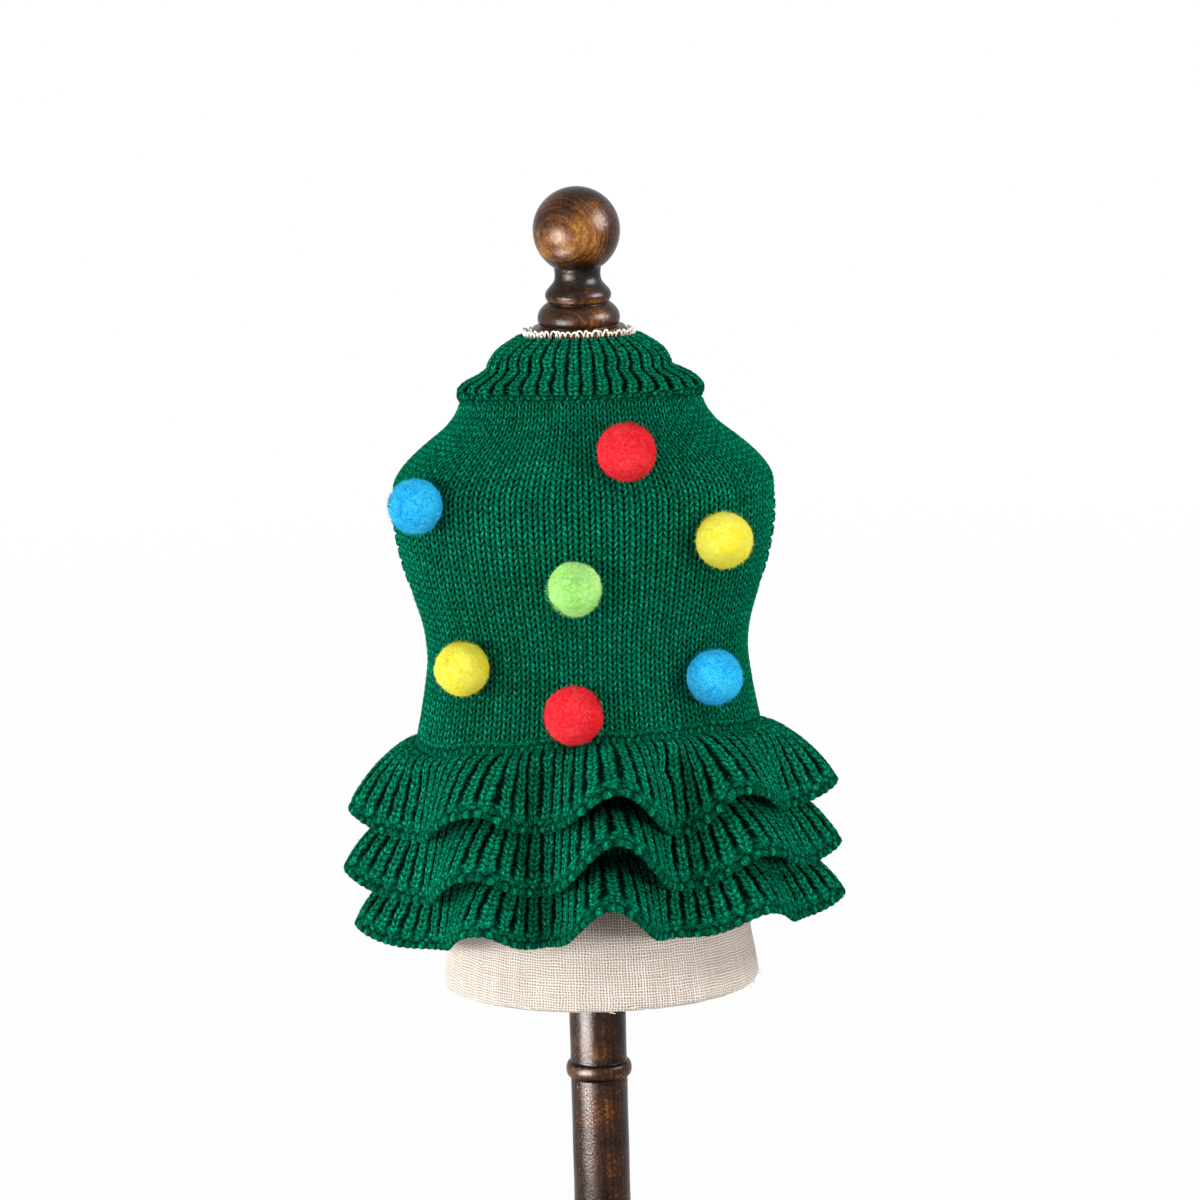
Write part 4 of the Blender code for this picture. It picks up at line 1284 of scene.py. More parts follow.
def grow_nap(name, pieces, seed):
    chance = np.random.default_rng(seed)
    drawn = [nap_roots(piece, chance) for piece in pieces]
    roots = np.concatenate([places for places, _ in drawn])
    outs = np.concatenate([normals for _, normals in drawn])
    way = unit(outs + chance.normal(0.0, NAP_TILT, outs.shape))
    side = unit(np.cross(way, chance.normal(size=way.shape)))
    other = np.cross(way, side)
    lengths = NAP_SHORTEST + NAP_LONGER * chance.random((len(roots), 1)) ** 2.0
    feet = roots - outs * NAP_FOOT
    spikes = [feet + NAP_THICKNESS * (side * math.cos(turn) + other * math.sin(turn))
              for turn in (0.0, 2.0 * math.pi / 3.0, 4.0 * math.pi / 3.0)]
    spikes.append(roots + way * lengths)
    mesh = make_mesh(name, np.stack(spikes, axis=1).reshape(-1, 3), [], spikes_from(len(roots)))
    make_piece(name, mesh, nap_finish, "knit_green")
    print(name, "fibres:", len(roots), "triangles:", 4 * len(roots))


nap_tree = Tree("green_fibres", Roughness=0.8, Specular_IOR_Level=0.02)
nap_tone = nap_tree.noise(nap_tree.object_place(), 900.0, 2.0)
nap_finish = nap_tree.finish(
    Base_Color=nap_tree.ramp(nap_tone, (0.35, YARN_BODY), (0.65, YARN_CREST)),
    Normal=nap_tree.bump(nap_tone, 0.0002, 0.4))
grow_nap("yarn_fibres", [back, belly, collar, *leg_bands, *ruffle_sizes], 41)

# %% [markdown]
# ## Wool pom-poms
#
# The pom-poms are balls of wool, trimmed and lightly felted: nearly round, with shallow
# lumps and dents, a few creases where the strands part, and a short nap of loose fibres.
# A particle system could grow the nap, but it would not travel with an exported mesh, so
# each fibre here is a thin closed spike set into the ball by a seeded draw. The felt itself
# is in the material: fine tangled strands that catch the light, over blotches of the dye.

# %% Places of the pom-poms
# Each crease is noted by how far right and up it lies, and its lean.
Pom = namedtuple("Pom", "dye across height diameter creases")
POMS = {
    "red_upper": Pom("red", 19.8, 405.0, 26.4, ((0.18, 0.62, 0.5), (0.34, 0.48, 1.3))),
    "blue_left": Pom("blue", -75.4, 380.0, 25.0, ((-0.1, 0.5, 1.9),)),
    "yellow_right": Pom("yellow", 62.4, 362.6, 25.8, ((0.5, 0.4, 0.4),)),
    "lime": Pom("lime", -5.0, 345.0, 24.6, ((0.02, 0.72, 1.4), (0.1, -0.7, 1.7))),
    "yellow_left": Pom("yellow", -56.5, 306.5, 24.6, ((0.2, -0.4, 0.8),)),
    "blue_right": Pom("blue", 56.7, 299.6, 25.4, ((-0.1, 0.2, 1.2),)),
    "red_waist": Pom("red", -7.0, 287.5, 26.6, ((-0.02, -0.1, 1.5),)),
}
POM_SEAT = 0.70           # share of the radius at which a pom-pom is pressed flat


def body_out(angle, height):
    return unit(np.cross(body_skin(angle + 1.0, height) - body_skin(angle - 1.0, height),
                         body_skin(angle, height + 1.0) - body_skin(angle, height - 1.0)))


def rise_under_seat(angle, height, reach):
    """How far the cloth stands past its tangent plane within reach of a seat."""
    turn = np.radians(np.arange(0, 360, 30))
    near = body_skin(angle + reach * np.cos(turn) / degree_at(angle, height),
                     height + reach * np.sin(turn))
    return max(0.0, ((near - body_skin(angle, height)) @ body_out(angle, height)).max())


def pompom_place(pom):
    """Middle of a pom-pom and the direction in which it stands off the dress."""
    radius = pom.diameter / 2
    flat = POM_SEAT * radius
    across, height = pom.across, pom.height
    for _ in range(8):
        width = float(sizes_at(BODY, "height", height)[0])
        angle = math.degrees(math.asin(across / width))
        out = body_out(angle, height)
        rise = rise_under_seat(angle, height, radius * math.sqrt(1.0 - POM_SEAT ** 2))
        centre = body_skin(angle, height) + out * (flat + SEAM_GAP + rise)
        across += pom.across - centre[0]
        height += pom.height - centre[2]
    return centre, out


for name, pom in POMS.items():
    print(name, "stands at", pompom_place(pom)[0].round(1))

# %% Felted wool in four dyes
Dye = namedtuple("Dye", "deep body crest")
DYES = {
    "red": Dye((0.74, 0.0003, 0.006), (0.87, 0.004, 0.018), (0.97, 0.085, 0.092)),
    "blue": Dye((0.0001, 0.17, 0.74), (0.0003, 0.46, 0.91), (0.10, 0.78, 0.99)),
    "yellow": Dye((0.88, 0.66, 0.002), (0.95, 0.87, 0.026), (0.98, 0.94, 0.24)),
    "lime": Dye((0.19, 0.62, 0.055), (0.39, 0.88, 0.18), (0.68, 0.98, 0.46)),
}


def felt(name, dye):
    tree = Tree(name, Roughness=0.95, Sheen_Weight=0.2, Sheen_Roughness=0.5,
                Sheen_Tint=(*dye.crest, 1.0), Specular_IOR_Level=0.06)
    spot = tree.object_place()
    strands = tree.noise(spot, 560.0, 4.0, 0.72, 3.8)
    tufts = tree.noise(spot, 260.0, 2.0, 0.5, 1.2)
    blotches = tree.noise(spot, 90.0, 1.0)
    light = (strands - 0.5) * 3.3 + (tufts - 0.5) * 0.75 + (blotches - 0.5) * 0.5 + 0.52
    colour = tree.ramp(light.limited(), (0.05, dye.deep), (0.50, dye.body), (0.95, dye.crest))
    relief = strands * 1.1 + tufts
    return tree.finish(Base_Color=colour, Normal=tree.bump(relief, 0.0015, 0.9))


felts = {dye: felt("felt_" + dye, colours) for dye, colours in DYES.items()}

# %% Make the pom-poms
POM_ROWS = 60
POM_COLUMNS = 96
POM_INSET = 0.25          # the lumps stand out from a ball this much smaller
Lumps = namedtuple("Lumps", "count depth narrow")
POM_LUMPS = [Lumps(34, 0.40, 16.0), Lumps(260, 0.22, 140.0), Lumps(1500, 0.30, 900.0)]
PARTING_DEPTH = 0.55      # of a crease where the strands part
PARTING_LENGTH = 0.26     # shares of the radius
PARTING_WIDTH = 0.035
FIBRES_PER_POM = 1400
FIBRE_THICKNESS = 0.12
FIBRE_FOOT = 0.7          # how deep a fibre's foot is in the ball
FIBRE_LENGTHS = (0.5, 1.5)
FIBRE_LEAN = 0.65
BARE_BACK = -0.62         # no fibres grow where the ball is pressed to the knit


def lumps(ways, chance, row):
    """Shallow dents and swellings of a ball, as a sum of soft spots in seeded directions."""
    centres = unit(chance.normal(size=(row.count, 3)))
    sizes = chance.uniform(-row.depth, row.depth, row.count)
    near = ways @ centres.T
    return (sizes * np.exp((near - 1.0) * row.narrow)).sum(axis=1)


def make_pompom(name, pom, seed):
    chance = np.random.default_rng(seed)
    centre, out = pompom_place(pom)
    radius = pom.diameter / 2
    flat = POM_SEAT * radius
    sideways = unit(np.cross(out, (0.0, 0.0, 1.0)))
    upwards = np.cross(sideways, out)
    tilt = math.pi * np.arange(1, POM_ROWS) / POM_ROWS
    turn = 2.0 * math.pi * np.arange(POM_COLUMNS) / POM_COLUMNS
    rings = np.stack([np.repeat(np.cos(tilt), POM_COLUMNS),
                      np.outer(np.sin(tilt), np.cos(turn)).ravel(),
                      np.outer(np.sin(tilt), np.sin(turn)).ravel()], axis=-1)
    ways = np.concatenate([rings, [(1.0, 0.0, 0.0), (-1.0, 0.0, 0.0)]])
    swell = sum(lumps(ways, chance, row) for row in POM_LUMPS)
    for right, up, lean in pom.creases:
        x = -ways[:, 1] - right
        y = ways[:, 2] - up
        along = x * math.cos(lean) + y * math.sin(lean)
        aside = -x * math.sin(lean) + y * math.cos(lean)
        line = np.exp(-(along / PARTING_LENGTH) ** 2 - (aside / PARTING_WIDTH) ** 2)
        swell -= PARTING_DEPTH * line * (ways[:, 0] > 0)
    reach = ways * (radius - POM_INSET + swell)[:, None]
    reach[:, 0] = np.maximum(reach[:, 0], -flat)
    frame_of_ball = np.stack([out, sideways, upwards])
    points = centre + reach @ frame_of_ball
    quads = grid_quads(POM_ROWS - 1, POM_COLUMNS, 0, True)
    caps = end_caps(POM_ROWS - 1, POM_COLUMNS)
    roots = unit(chance.normal(size=(FIBRES_PER_POM, 3)))
    roots = roots[roots[:, 0] > BARE_BACK]
    lean = chance.normal(size=roots.shape)
    lean -= (lean * roots).sum(1, keepdims=True) * roots
    lengths = chance.uniform(*FIBRE_LENGTHS, (len(roots), 1))
    side = unit(np.cross(roots, lean))
    foot = roots * (radius - FIBRE_FOOT)
    tip = roots * (radius - 0.1 + lengths) + lean * lengths * FIBRE_LEAN
    thick = side * FIBRE_THICKNESS
    ahead = np.cross(side, roots) * FIBRE_THICKNESS
    spikes = np.stack([foot + thick, foot - thick * 0.5 + ahead, foot - thick * 0.5 - ahead, tip],
                      axis=1)
    faces = np.concatenate([caps, spikes_from(len(roots), start=len(points))])
    points = np.concatenate([points, centre + spikes.reshape(-1, 3) @ frame_of_ball])
    mesh = make_mesh("wool_" + name, points, quads, faces)
    make_piece("wool_" + name, mesh, felts[pom.dye], "wool_" + pom.dye, "pompom_" + name)


for seed, (name, pom) in enumerate(POMS.items(), start=11):
    make_pompom(name, pom, seed)
print("fibres on a pom-pom, at most:", FIBRES_PER_POM)

# %% [markdown]
# ## The linen form
#
# The form is a moulded body covered in coarse natural linen, drawn tight and turned under at
# the foot. The weave is a plain one: each thread passes over one and under the next. The
# threads are hand-spun, so some are thick slubs and some thin, and a few stand out white.
# The mesh carries the shape, with the slight waves of the stretched cloth and its turned
# edge, and the material weaves it, because a thread is only half a millimetre thick.

# %% Weave the linen
LINEN_DARK = (0.120, 0.078, 0.050)
LINEN_MID = (0.550, 0.469, 0.398)
LINEN_PALE = (0.735, 0.688, 0.632)
LINEN_SLUB = (0.96, 0.94, 0.91)
THREAD_PITCH = 1.25       # millimetres from thread to thread
UNDER_SKIRT = (0.20, 0.14, 0.10)  # what the linen's colour is multiplied by in deep shade


def linen(name):
    """Linen on a map named knit that counts warp and weft threads."""
    tree = Tree(name, Roughness=0.9, Specular_IOR_Level=0.1)
    place = tree.node("ShaderNodeUVMap", {"uv_map": "knit"})
    warp_count, weft_count, _ = tree.split(place)
    shade = tree.fabric()[2]
    warp_place = warp_count + (tree.noise(place, 0.18, 2.0) - 0.5) * 1.5
    elsewhere = tree.stretched(place, (1.0, 1.0, 1.0), (31.0, 7.0, 0.0))
    weft_place = weft_count + (tree.noise(elsewhere, 0.16, 2.0) - 0.5) * 1.7
    # Each thread has its own thickness, the same all along it but for slow changes.
    warp_own = tree.noise(tree.stretched(place, (1.9, 0.035, 1.0)), 1.0, 1.0)
    weft_own = tree.noise(tree.stretched(place, (0.035, 1.9, 1.0), (5.0, 60.0, 0.0)), 1.0, 1.0)
    over = ((warp_place + weft_place) * math.pi).math("COSINE")
    across_warp = (warp_place * (2.0 * math.pi)).math("COSINE") * 0.5 + 0.5
    across_weft = (weft_place * (2.0 * math.pi)).math("COSINE") * 0.5 + 0.5
    checks = sine(warp_place * math.pi) * sine(weft_place * math.pi)
    warp = across_warp * (0.62 + warp_own * 0.75) + checks * 0.14
    weft = across_weft * (0.62 + weft_own * 0.75) - checks * 0.14
    thread = higher(warp, weft)
    fluff = tree.noise(tree.object_place(), 1500.0, 3.0, 0.6)
    own = (warp_own - 0.5) * 0.35 + (weft_own - 0.5) * 0.30
    light = thread * 0.86 + (fluff - 0.5) * 0.60 + over * 0.05 + own * thread - 0.05
    slub = ((warp_own - 0.66) * 9.0).limited() * across_warp
    colour = tree.ramp(light.limited(), (0.12, LINEN_DARK), (0.55, LINEN_MID), (1.0, LINEN_PALE))
    colour = tree.mix(slub * 0.8, colour, LINEN_SLUB)
    # Painted shade, kept in the fabric's third number, darkens the linen where the dress hangs over
    # it.
    colour = tree.mix(1.0 - shade, colour, UNDER_SKIRT, "MULTIPLY")
    return tree.finish(Base_Color=colour, Normal=tree.bump(thread + fluff * 0.4, 0.0005, 0.7))


linen_finish = linen("natural_linen")

# %% Cover the form
FORM_COLUMNS = 180
FORM_EDGE_RADIUS = 3.0
THREADS_ROUND_AT = 175.0  # height at which the warp threads are counted
CLOTH_SINKS = 0.35        # how far the linen lies under its section, so that waves stay in it


def form_profile():
    """Rows of the form: the height and how far the cloth stands in."""
    rows = []
    for turn in np.linspace(0.0, 90.0, 7):
        rise = FORM_EDGE_RADIUS * (1.0 - math.cos(math.radians(turn)))
        inset = FORM_EDGE_RADIUS * (1.0 - math.sin(math.radians(turn)))
        rows.append((FORM_BOTTOM + rise, inset))
    for low, high, count in ((155.0, 205.0, 34), (212.0, 432.0, 32), (435.0, FORM_TOP - 1.0, 9)):
        rows.extend((height, 0.0) for height in np.linspace(low, high, count))
    rows.append((FORM_TOP - 0.35, 0.5))
    rows.append((FORM_TOP, 1.4))
    return rows


def cover_form():
    rows = form_profile()
    angle = 360.0 * np.arange(FORM_COLUMNS) / FORM_COLUMNS - 180.0
    height = np.array([row[0] for row in rows])[:, None]
    inset = np.array([row[1] for row in rows])[:, None]
    turn = np.radians(angle)[None, :]
    waves = (0.30 * np.sin(3 * turn + 0.6 + height * 0.03) + 0.22 * np.sin(7 * turn + height * 0.07)
             + 0.16 * np.sin(13 * turn + 1.0 - height * 0.05))
    hem = np.exp(-((height - FORM_BOTTOM - 3.0) / 4.0) ** 2)
    ragged = np.random.default_rng(5).uniform(-0.45, 0.45, (1, FORM_COLUMNS))
    fringe = ragged * np.exp(-((height - FORM_BOTTOM) / 2.2) ** 2)
    waves = waves * (0.45 + 0.55 * hem) - CLOTH_SINKS + fringe
    skin = form_skin(angle[None, :], np.maximum(height, FORM[0].height - 3.0), waves - inset)
    turns = np.linspace(-180, 180, 721)
    around = length_along(form_skin(turns, np.full(turns.shape, THREADS_ROUND_AT)))[-1]
    warp_threads = round(around / THREAD_PITCH)
    warp = np.broadcast_to(np.arange(FORM_COLUMNS) / FORM_COLUMNS * warp_threads, skin.shape[:2])
    # The cloth was laid on a little askew, so its threads climb to the left.
    askew = 3.0 * np.sin(turn * 0.5)
    weft = np.broadcast_to(height / THREAD_PITCH, skin.shape[:2]) + askew
    # Painted shade: above the foot, under the dress, the linen's colour is darkened; this share is
    # 1 where it is not.
    under = 1.0 - 0.55 * ease((np.broadcast_to(height, skin.shape[:2]) - 172.0) / 26.0)
    points = np.concatenate([skin.reshape(-1, 3),
                             [(FORM_SHIFT, 0.0, FORM_BOTTOM), (0.0, 0.0, FORM_TOP)]])
    knit = np.concatenate([np.stack([warp, weft], -1).reshape(-1, 2), [(0.0, 0.0), (0.0, 0.0)]])
    fabric = np.concatenate([np.stack([under * 0, under * 0, under], -1).reshape(-1, 3),
                             [(0, 0, 1), (0, 0, 1)]])
    caps = end_caps(len(skin), FORM_COLUMNS)
    quads = grid_quads(len(skin), FORM_COLUMNS, 0, True)
    mesh = make_mesh("linen_form", points, quads, caps, knit=knit, wrap=float(warp_threads),
                     fabric=fabric)
    print("linen form:", len(quads) * 2 + len(caps), "triangles")
    return mesh


make_piece("linen_form", cover_form(), linen_finish, "linen", "dress_form")

# %% [markdown]
# ### Frayed threads
#
# Round the neck the linen was cut and left raw, so its warp stands up in a fringe of small
# loops behind the collar's edge. A few threads have also worked loose at the foot. Each is
# a thin bent tube that grows out of the cloth.

# %% Fray the neck and the foot
NECK_LOOPS = 64
LOOSE_THREADS = 48
LOOSE_AT_SIDE = 14        # so many of them hang on the right, and the rest anywhere
LOOSE_HIGH = 5            # and the first few of all start higher up
LOOSE_RADIUS = 0.16
ASKEW_TO_ALL = (0.31, 0.17, 0.93)  # no thread runs this way, so it can give each a side


def thread_tube(path, radius, sides=5):
    """Points and faces of a closed tube of thread along a path, thinner at its ends."""
    way = unit(np.gradient(path, axis=0))
    side = unit(np.cross(way, ASKEW_TO_ALL))
    other = np.cross(way, side)
    turn = 2.0 * math.pi * np.arange(sides) / sides
    girth = radius * np.sin(math.pi * np.linspace(0.12, 0.88, len(path))) ** 0.35
    ring = (side[:, None] * np.cos(turn)[None, :, None]
            + other[:, None] * np.sin(turn)[None, :, None])
    points = (path[:, None] + ring * girth[:, None, None]).reshape(-1, 3)
    quads = grid_quads(len(path), sides, 0, True)
    last = (len(path) - 1) * sides
    caps = [(0, k + 1, k) for k in range(1, sides - 1)]
    caps += [(last, last + k, last + k + 1) for k in range(1, sides - 1)]
    return points, quads, np.array(caps)


def join_parts(parts):
    """Several separate closed bodies as the points and faces of one mesh."""
    points, quads, triangles = zip(*parts)
    starts = np.cumsum([0] + [len(part) for part in points])
    return (np.concatenate(points),
            np.concatenate([faces + start for faces, start in zip(quads, starts)]),
            np.concatenate([faces + start for faces, start in zip(triangles, starts)]))


thread_chance = np.random.default_rng(7)
threads = []
for number in range(NECK_LOOPS):
    middle = 360.0 * (number + thread_chance.uniform(-0.3, 0.3)) / NECK_LOOPS
    width = thread_chance.uniform(2.2, 4.2)
    rise = thread_chance.uniform(2.2, 3.8)
    lean = thread_chance.uniform(0.1, 0.8)
    bend = np.linspace(0.0, math.pi, 9)
    angle = middle - width * np.cos(bend)
    height = collar_top(middle) - 0.6 + rise * np.sin(bend)
    out = 1.3 + lean * np.sin(bend)
    threads.append(thread_tube(form_skin(angle, height, out), thread_chance.uniform(0.34, 0.5)))
share = np.linspace(0.0, 1.0, 8)
for number in range(LOOSE_THREADS):
    start = thread_chance.uniform(*((50, 92) if number < LOOSE_AT_SIDE else (-90, 270)))
    height = thread_chance.uniform(*((153, 180) if number < LOOSE_HIGH else (150.3, 152.0)))
    reach = thread_chance.uniform(0.25, 1.0) ** 2
    angle = start + thread_chance.uniform(-4, 4) * share
    sag = 2.2 * reach * share * share * thread_chance.uniform(0.2, 1.0)
    path = form_skin(angle, np.full(share.shape, height), -0.5 + 2.0 * reach * share)
    path[:, 2] -= sag
    threads.append(thread_tube(path, LOOSE_RADIUS))
thread_tree = Tree("linen_thread", Roughness=0.9)
fuzz = thread_tree.noise(thread_tree.object_place(), 1400.0)
thread_finish = thread_tree.finish(
    Base_Color=thread_tree.ramp(fuzz, (0.3, (0.74, 0.66, 0.55)), (0.7, (0.93, 0.89, 0.82))),
    Normal=thread_tree.bump(fuzz, 0.0003, 0.6))
make_piece("linen_fray", make_mesh("linen_fray", *join_parts(threads)), thread_finish, "linen")
print("threads:", len(threads))

# %% [markdown]
# ## Turned walnut
#
# The finial, the pole and the base are turned on a lathe, stained dark and varnished. A
# turner reads a profile from the bottom up and spins it, and so does the code. Stain gathers
# in the grooves and rubs off the rounds, so every row of the profile also notes how dark it
# is, from 0 on a proud edge to 1 deep in a groove.

# %% Stained and varnished wood
WOOD_DARK = (0.0020, 0.0006, 0.0002)
WOOD_BODY = (0.0300, 0.0085, 0.0014)
WOOD_WARM = (0.1900, 0.0700, 0.0110)
# The palest colour, on worn rounds and where the painted front light is strongest.
WOOD_WORN_AND_LIT = (0.4600, 0.2300, 0.0600)
HEART_ASIDE = 0.021       # metres from the middle of the piece to the heart of the tree
HEART_BEHIND = 0.034


def walnut(name, brightness, painted_front_light, streaks):
    """Varnished walnut, with its grain upright, round a heart that lies off the middle."""
    tree = Tree(name, Specular_IOR_Level=0.14)
    spot = tree.object_place()
    stain = tree.fabric()[0]
    x, y, z = tree.split(spot)
    aside = x - HEART_ASIDE
    behind = y - HEART_BEHIND
    heart = root(aside * aside + behind * behind)
    drift = tree.noise(tree.stretched(spot, (60.0, 60.0, 9.0)), 1.0, 3.0, 0.55)
    rings = sine((heart * 520.0 + drift * 2.4) * (2.0 * math.pi)) * 0.5 + 0.5
    pores = tree.noise(tree.stretched(spot, (2300.0, 2300.0, 120.0)), 1.0, 3.0, 0.65)
    smoke = tree.noise(spot, 55.0, 3.0, 0.6)
    peel = tree.noise(spot, 850.0, 2.0, 0.6)
    light = rings * 0.12 + (drift - 0.5) * streaks + (pores - 0.5) * streaks + (smoke - 0.5) * 1.1
    light = light + (peel - 0.5) * (1.1 - streaks)
    # Painted light: the wood is lighter on its side at -Y, towards the camera, and darker behind.
    light = (light + brightness - y * painted_front_light - stain * 0.50).limited()
    colour = tree.ramp(light, (0.0, WOOD_DARK), (0.35, WOOD_BODY), (0.68, WOOD_WARM),
                       (1.0, WOOD_WORN_AND_LIT))
    # The chisel leaves fine scales that look up a little, and the varnish rounds them.
    scale = fraction(z * 850.0 + peel * 5.0)
    dents = tree.bump(peel * 0.30 + pores * 0.08 - scale * 0.03, 0.001, 0.8)
    return tree.finish(Base_Color=colour, Roughness=0.24 + stain * 0.06, Normal=dents)


ball_finish = walnut("walnut_ball", 0.265, 15.5, 0.60)
pole_finish = walnut("walnut_pole", 0.105, 11.0, 0.30)
base_finish = walnut("walnut_base", 0.26, 1.2, 0.45)

# %% Profiles of the turned pieces
Turn = namedtuple("Turn", "height radius stain")
Bead = namedtuple("Bead", "height reach half root")
BEAD_FULLNESS = 0.75
BALL_RADIUS = 19.8
BALL_HEIGHT = 497.2
BALL_FOOT_RADIUS = 10.6
POLE_RADIUS = 13.0
POLE_BEAD = Bead(108.0, 15.1, 3.6, POLE_RADIUS)
BASE_RADIUS = 95.0
BASE_HEIGHT = 20.0
BASE_RIM = 6.0
BASE_TOP_RADIUS = 22.0
TURNED_COLUMNS = 112
WOBBLE = 0.05             # how far out of round the pieces are


def bead(row, steps=14):
    """Profile of one round bead, darkest in the groove at each side."""
    profile = []
    for turn in np.linspace(-90.0, 90.0, steps):
        lift = math.sin(math.radians(turn))
        swell = max(math.cos(math.radians(turn)), 0.0) ** BEAD_FULLNESS
        profile.append(Turn(row.height + row.half * lift,
                            row.root + (row.reach - row.root) * swell, 1.0 - 1.15 * swell))
    return profile


def turned(name, profile, finish, node):
    """Spin a profile round the Z axis, with a hair's breadth of the turner's own wobble."""
    height, radius, stain = (np.array([getattr(row, key) for row in profile])[:, None]
                             for key in ("height", "radius", "stain"))
    turn = 2.0 * math.pi * np.arange(TURNED_COLUMNS) / TURNED_COLUMNS
    wobble = WOBBLE * np.sin(2 * turn + height * 0.2) * np.minimum(radius / 10.0, 1.0)
    x = (radius + wobble) * np.cos(turn)
    y = (radius + wobble) * np.sin(turn)
    rings = np.stack(np.broadcast_arrays(x, y, height), -1)
    points = np.concatenate([rings.reshape(-1, 3), [(0, 0, height[0, 0]), (0, 0, height[-1, 0])]])
    caps = end_caps(len(rings), TURNED_COLUMNS)
    stains = np.append(np.broadcast_to(stain, rings.shape[:2]).ravel(), [stain[0, 0], stain[-1, 0]])
    fabric = np.stack([np.clip(stains, 0.0, 1.0), 0 * stains, 0 * stains], -1)
    quads = grid_quads(len(rings), TURNED_COLUMNS, 0, True)
    make_piece(name, make_mesh(name, points, quads, caps, fabric=fabric), finish, "walnut", node)
    print(f"{name}: {len(quads) * 2 + len(caps)} triangles")


def ball_profile(steps=40):
    first = -math.acos(BALL_FOOT_RADIUS / BALL_RADIUS)
    rows = []
    for share in np.linspace(0.0, 1.0, steps):
        turn = first + (math.radians(88.5) - first) * share
        # The ball is darker near its foot and towards its top.
        rows.append(Turn(BALL_HEIGHT + BALL_RADIUS * math.sin(turn),
                         BALL_RADIUS * math.cos(turn),
                         max(0.8 * (1.0 - share * 6.0), 0.7 * share ** 3)))
    return rows


# Over the lowest bead sits a tall barrel, and over that a full bead under the neck.
finial_rows = [Turn(FORM_TOP + SEAM_GAP, 17.5, 1.0), Turn(FORM_TOP + SEAM_GAP, 19.0, 1.0)]
finial_rows.extend(bead(Bead(452.0, 21.4, 1.9, 19.2)))
for share in np.linspace(0.0, 1.0, 20):
    # The barrel is fullest low down, and its shoulder curves in under the bell.
    swell = math.sin(math.pi * min(share / 0.3, 1.0) / 2.0)
    draw_in = max(share - 0.3, 0.0) / 0.7
    finial_rows.append(Turn(454.2 + 10.0 * share, 17.6 + 1.1 * swell - 4.2 * draw_in ** 2.3,
                            0.9 - 0.3 * swell + 0.2 * draw_in ** 4))
# Then come a cove, the full bead and the neck: height, radius and stain of each row.
for height, radius, stain in [
        (464.3, 13.3, 1.0), (464.9, 13.9, 0.6), (465.7, 14.4, 0.1), (466.6, 14.8, 0.2),
        (467.6, 15.0, 0.5), (468.6, 14.9, 0.6), (469.6, 14.5, 0.6), (470.6, 13.8, 0.6),
        (471.6, 12.9, 0.6), (472.6, 12.0, 0.7), (473.6, 11.2, 0.7), (474.6, 10.7, 0.7),
        (475.8, 10.4, 0.7), (477.4, 10.3, 0.8)]:
    finial_rows.append(Turn(height, radius, stain))
finial_rows.extend(ball_profile())
turned("walnut_finial", finial_rows, ball_finish, "neck_finial")

pole_rows = [Turn(BASE_HEIGHT + SEAM_GAP, POLE_RADIUS - 0.4, 0.6),
             Turn(BASE_HEIGHT + SEAM_GAP + 0.6, POLE_RADIUS, 0.4)]
for height in np.linspace(24.0, 101.0, 12):
    pole_rows.append(Turn(height, POLE_RADIUS, 0.1))
pole_rows.append(Turn(103.6, POLE_RADIUS, 0.6))
pole_rows.extend(bead(POLE_BEAD))
pole_rows.append(Turn(112.4, POLE_RADIUS, 0.6))
for height in np.linspace(115.0, 149.7, 8):
    pole_rows.append(Turn(height, POLE_RADIUS, 0.1 + 0.5 * (height > 145)))
turned("walnut_pole", pole_rows, pole_finish, "stand_pole")

shoulder = BASE_RADIUS - BASE_RIM
base_rows = [Turn(0.0, shoulder - 2.0, 0.5), Turn(0.0, shoulder, 0.5)]
for turn in np.linspace(-80.0, 80.0, 11):
    base_rows.append(Turn(BASE_RIM * (1.0 + math.sin(math.radians(turn))),
                          shoulder + BASE_RIM * math.cos(math.radians(turn)), 0.1))
for share in np.linspace(0.0, 1.0, 16):
    base_rows.append(Turn(2 * BASE_RIM + (BASE_HEIGHT - 2 * BASE_RIM) * share ** 2,
                          shoulder - (shoulder - BASE_TOP_RADIUS) * share, 0.2))
base_rows.append(Turn(BASE_HEIGHT, 14.0, 0.8))
turned("walnut_base", base_rows, base_finish, "stand_base")

# %% [markdown]
# ## What each piece of cloth was knitted to
#
# Cloth keeps its area however it is gathered, so the size that each piece had before it
# was sewn on is worked out here, and its width and length are printed. The panels and the
# collar are drawn tight over the form, the ruffles are gathered, and the tube under them
# hangs from the waist seam. A leg hole is knitted into both panels, so each panel's flat
# area is what is left round it.

HALF_HOLE = math.pi / 2.0 * LEG_HOLE_HALF_WIDTH * LEG_HOLE_HALF_HEIGHT


def climb_of(middle, half_angle):
    """Mean length of a body panel from the waist seam to the collar seam."""
    angle = middle + np.linspace(-half_angle, half_angle, 61)
    low, high = waist_seam(angle), collar_seam(angle)
    heights = low + (high - low) * np.linspace(0.0, 1.0, 121)[:, None]
    return length_along(body_skin(angle[None, :], heights))[-1].mean()


Cut = namedtuple("Cut", "width length held area rests_on", defaults=(None, ["dress_form"]))
CUTS = {}
for piece, middle, half_angle, wide in (
        (back, 0.0, SIDE_SEAM_ANGLE, back_width),
        (belly, 180.0, 180.0 - SIDE_SEAM_ANGLE, belly_width)):
    tall = climb_of(middle, half_angle)
    CUTS[piece] = Cut(wide, tall, "stretched", wide * tall - 2 * HALF_HOLE)

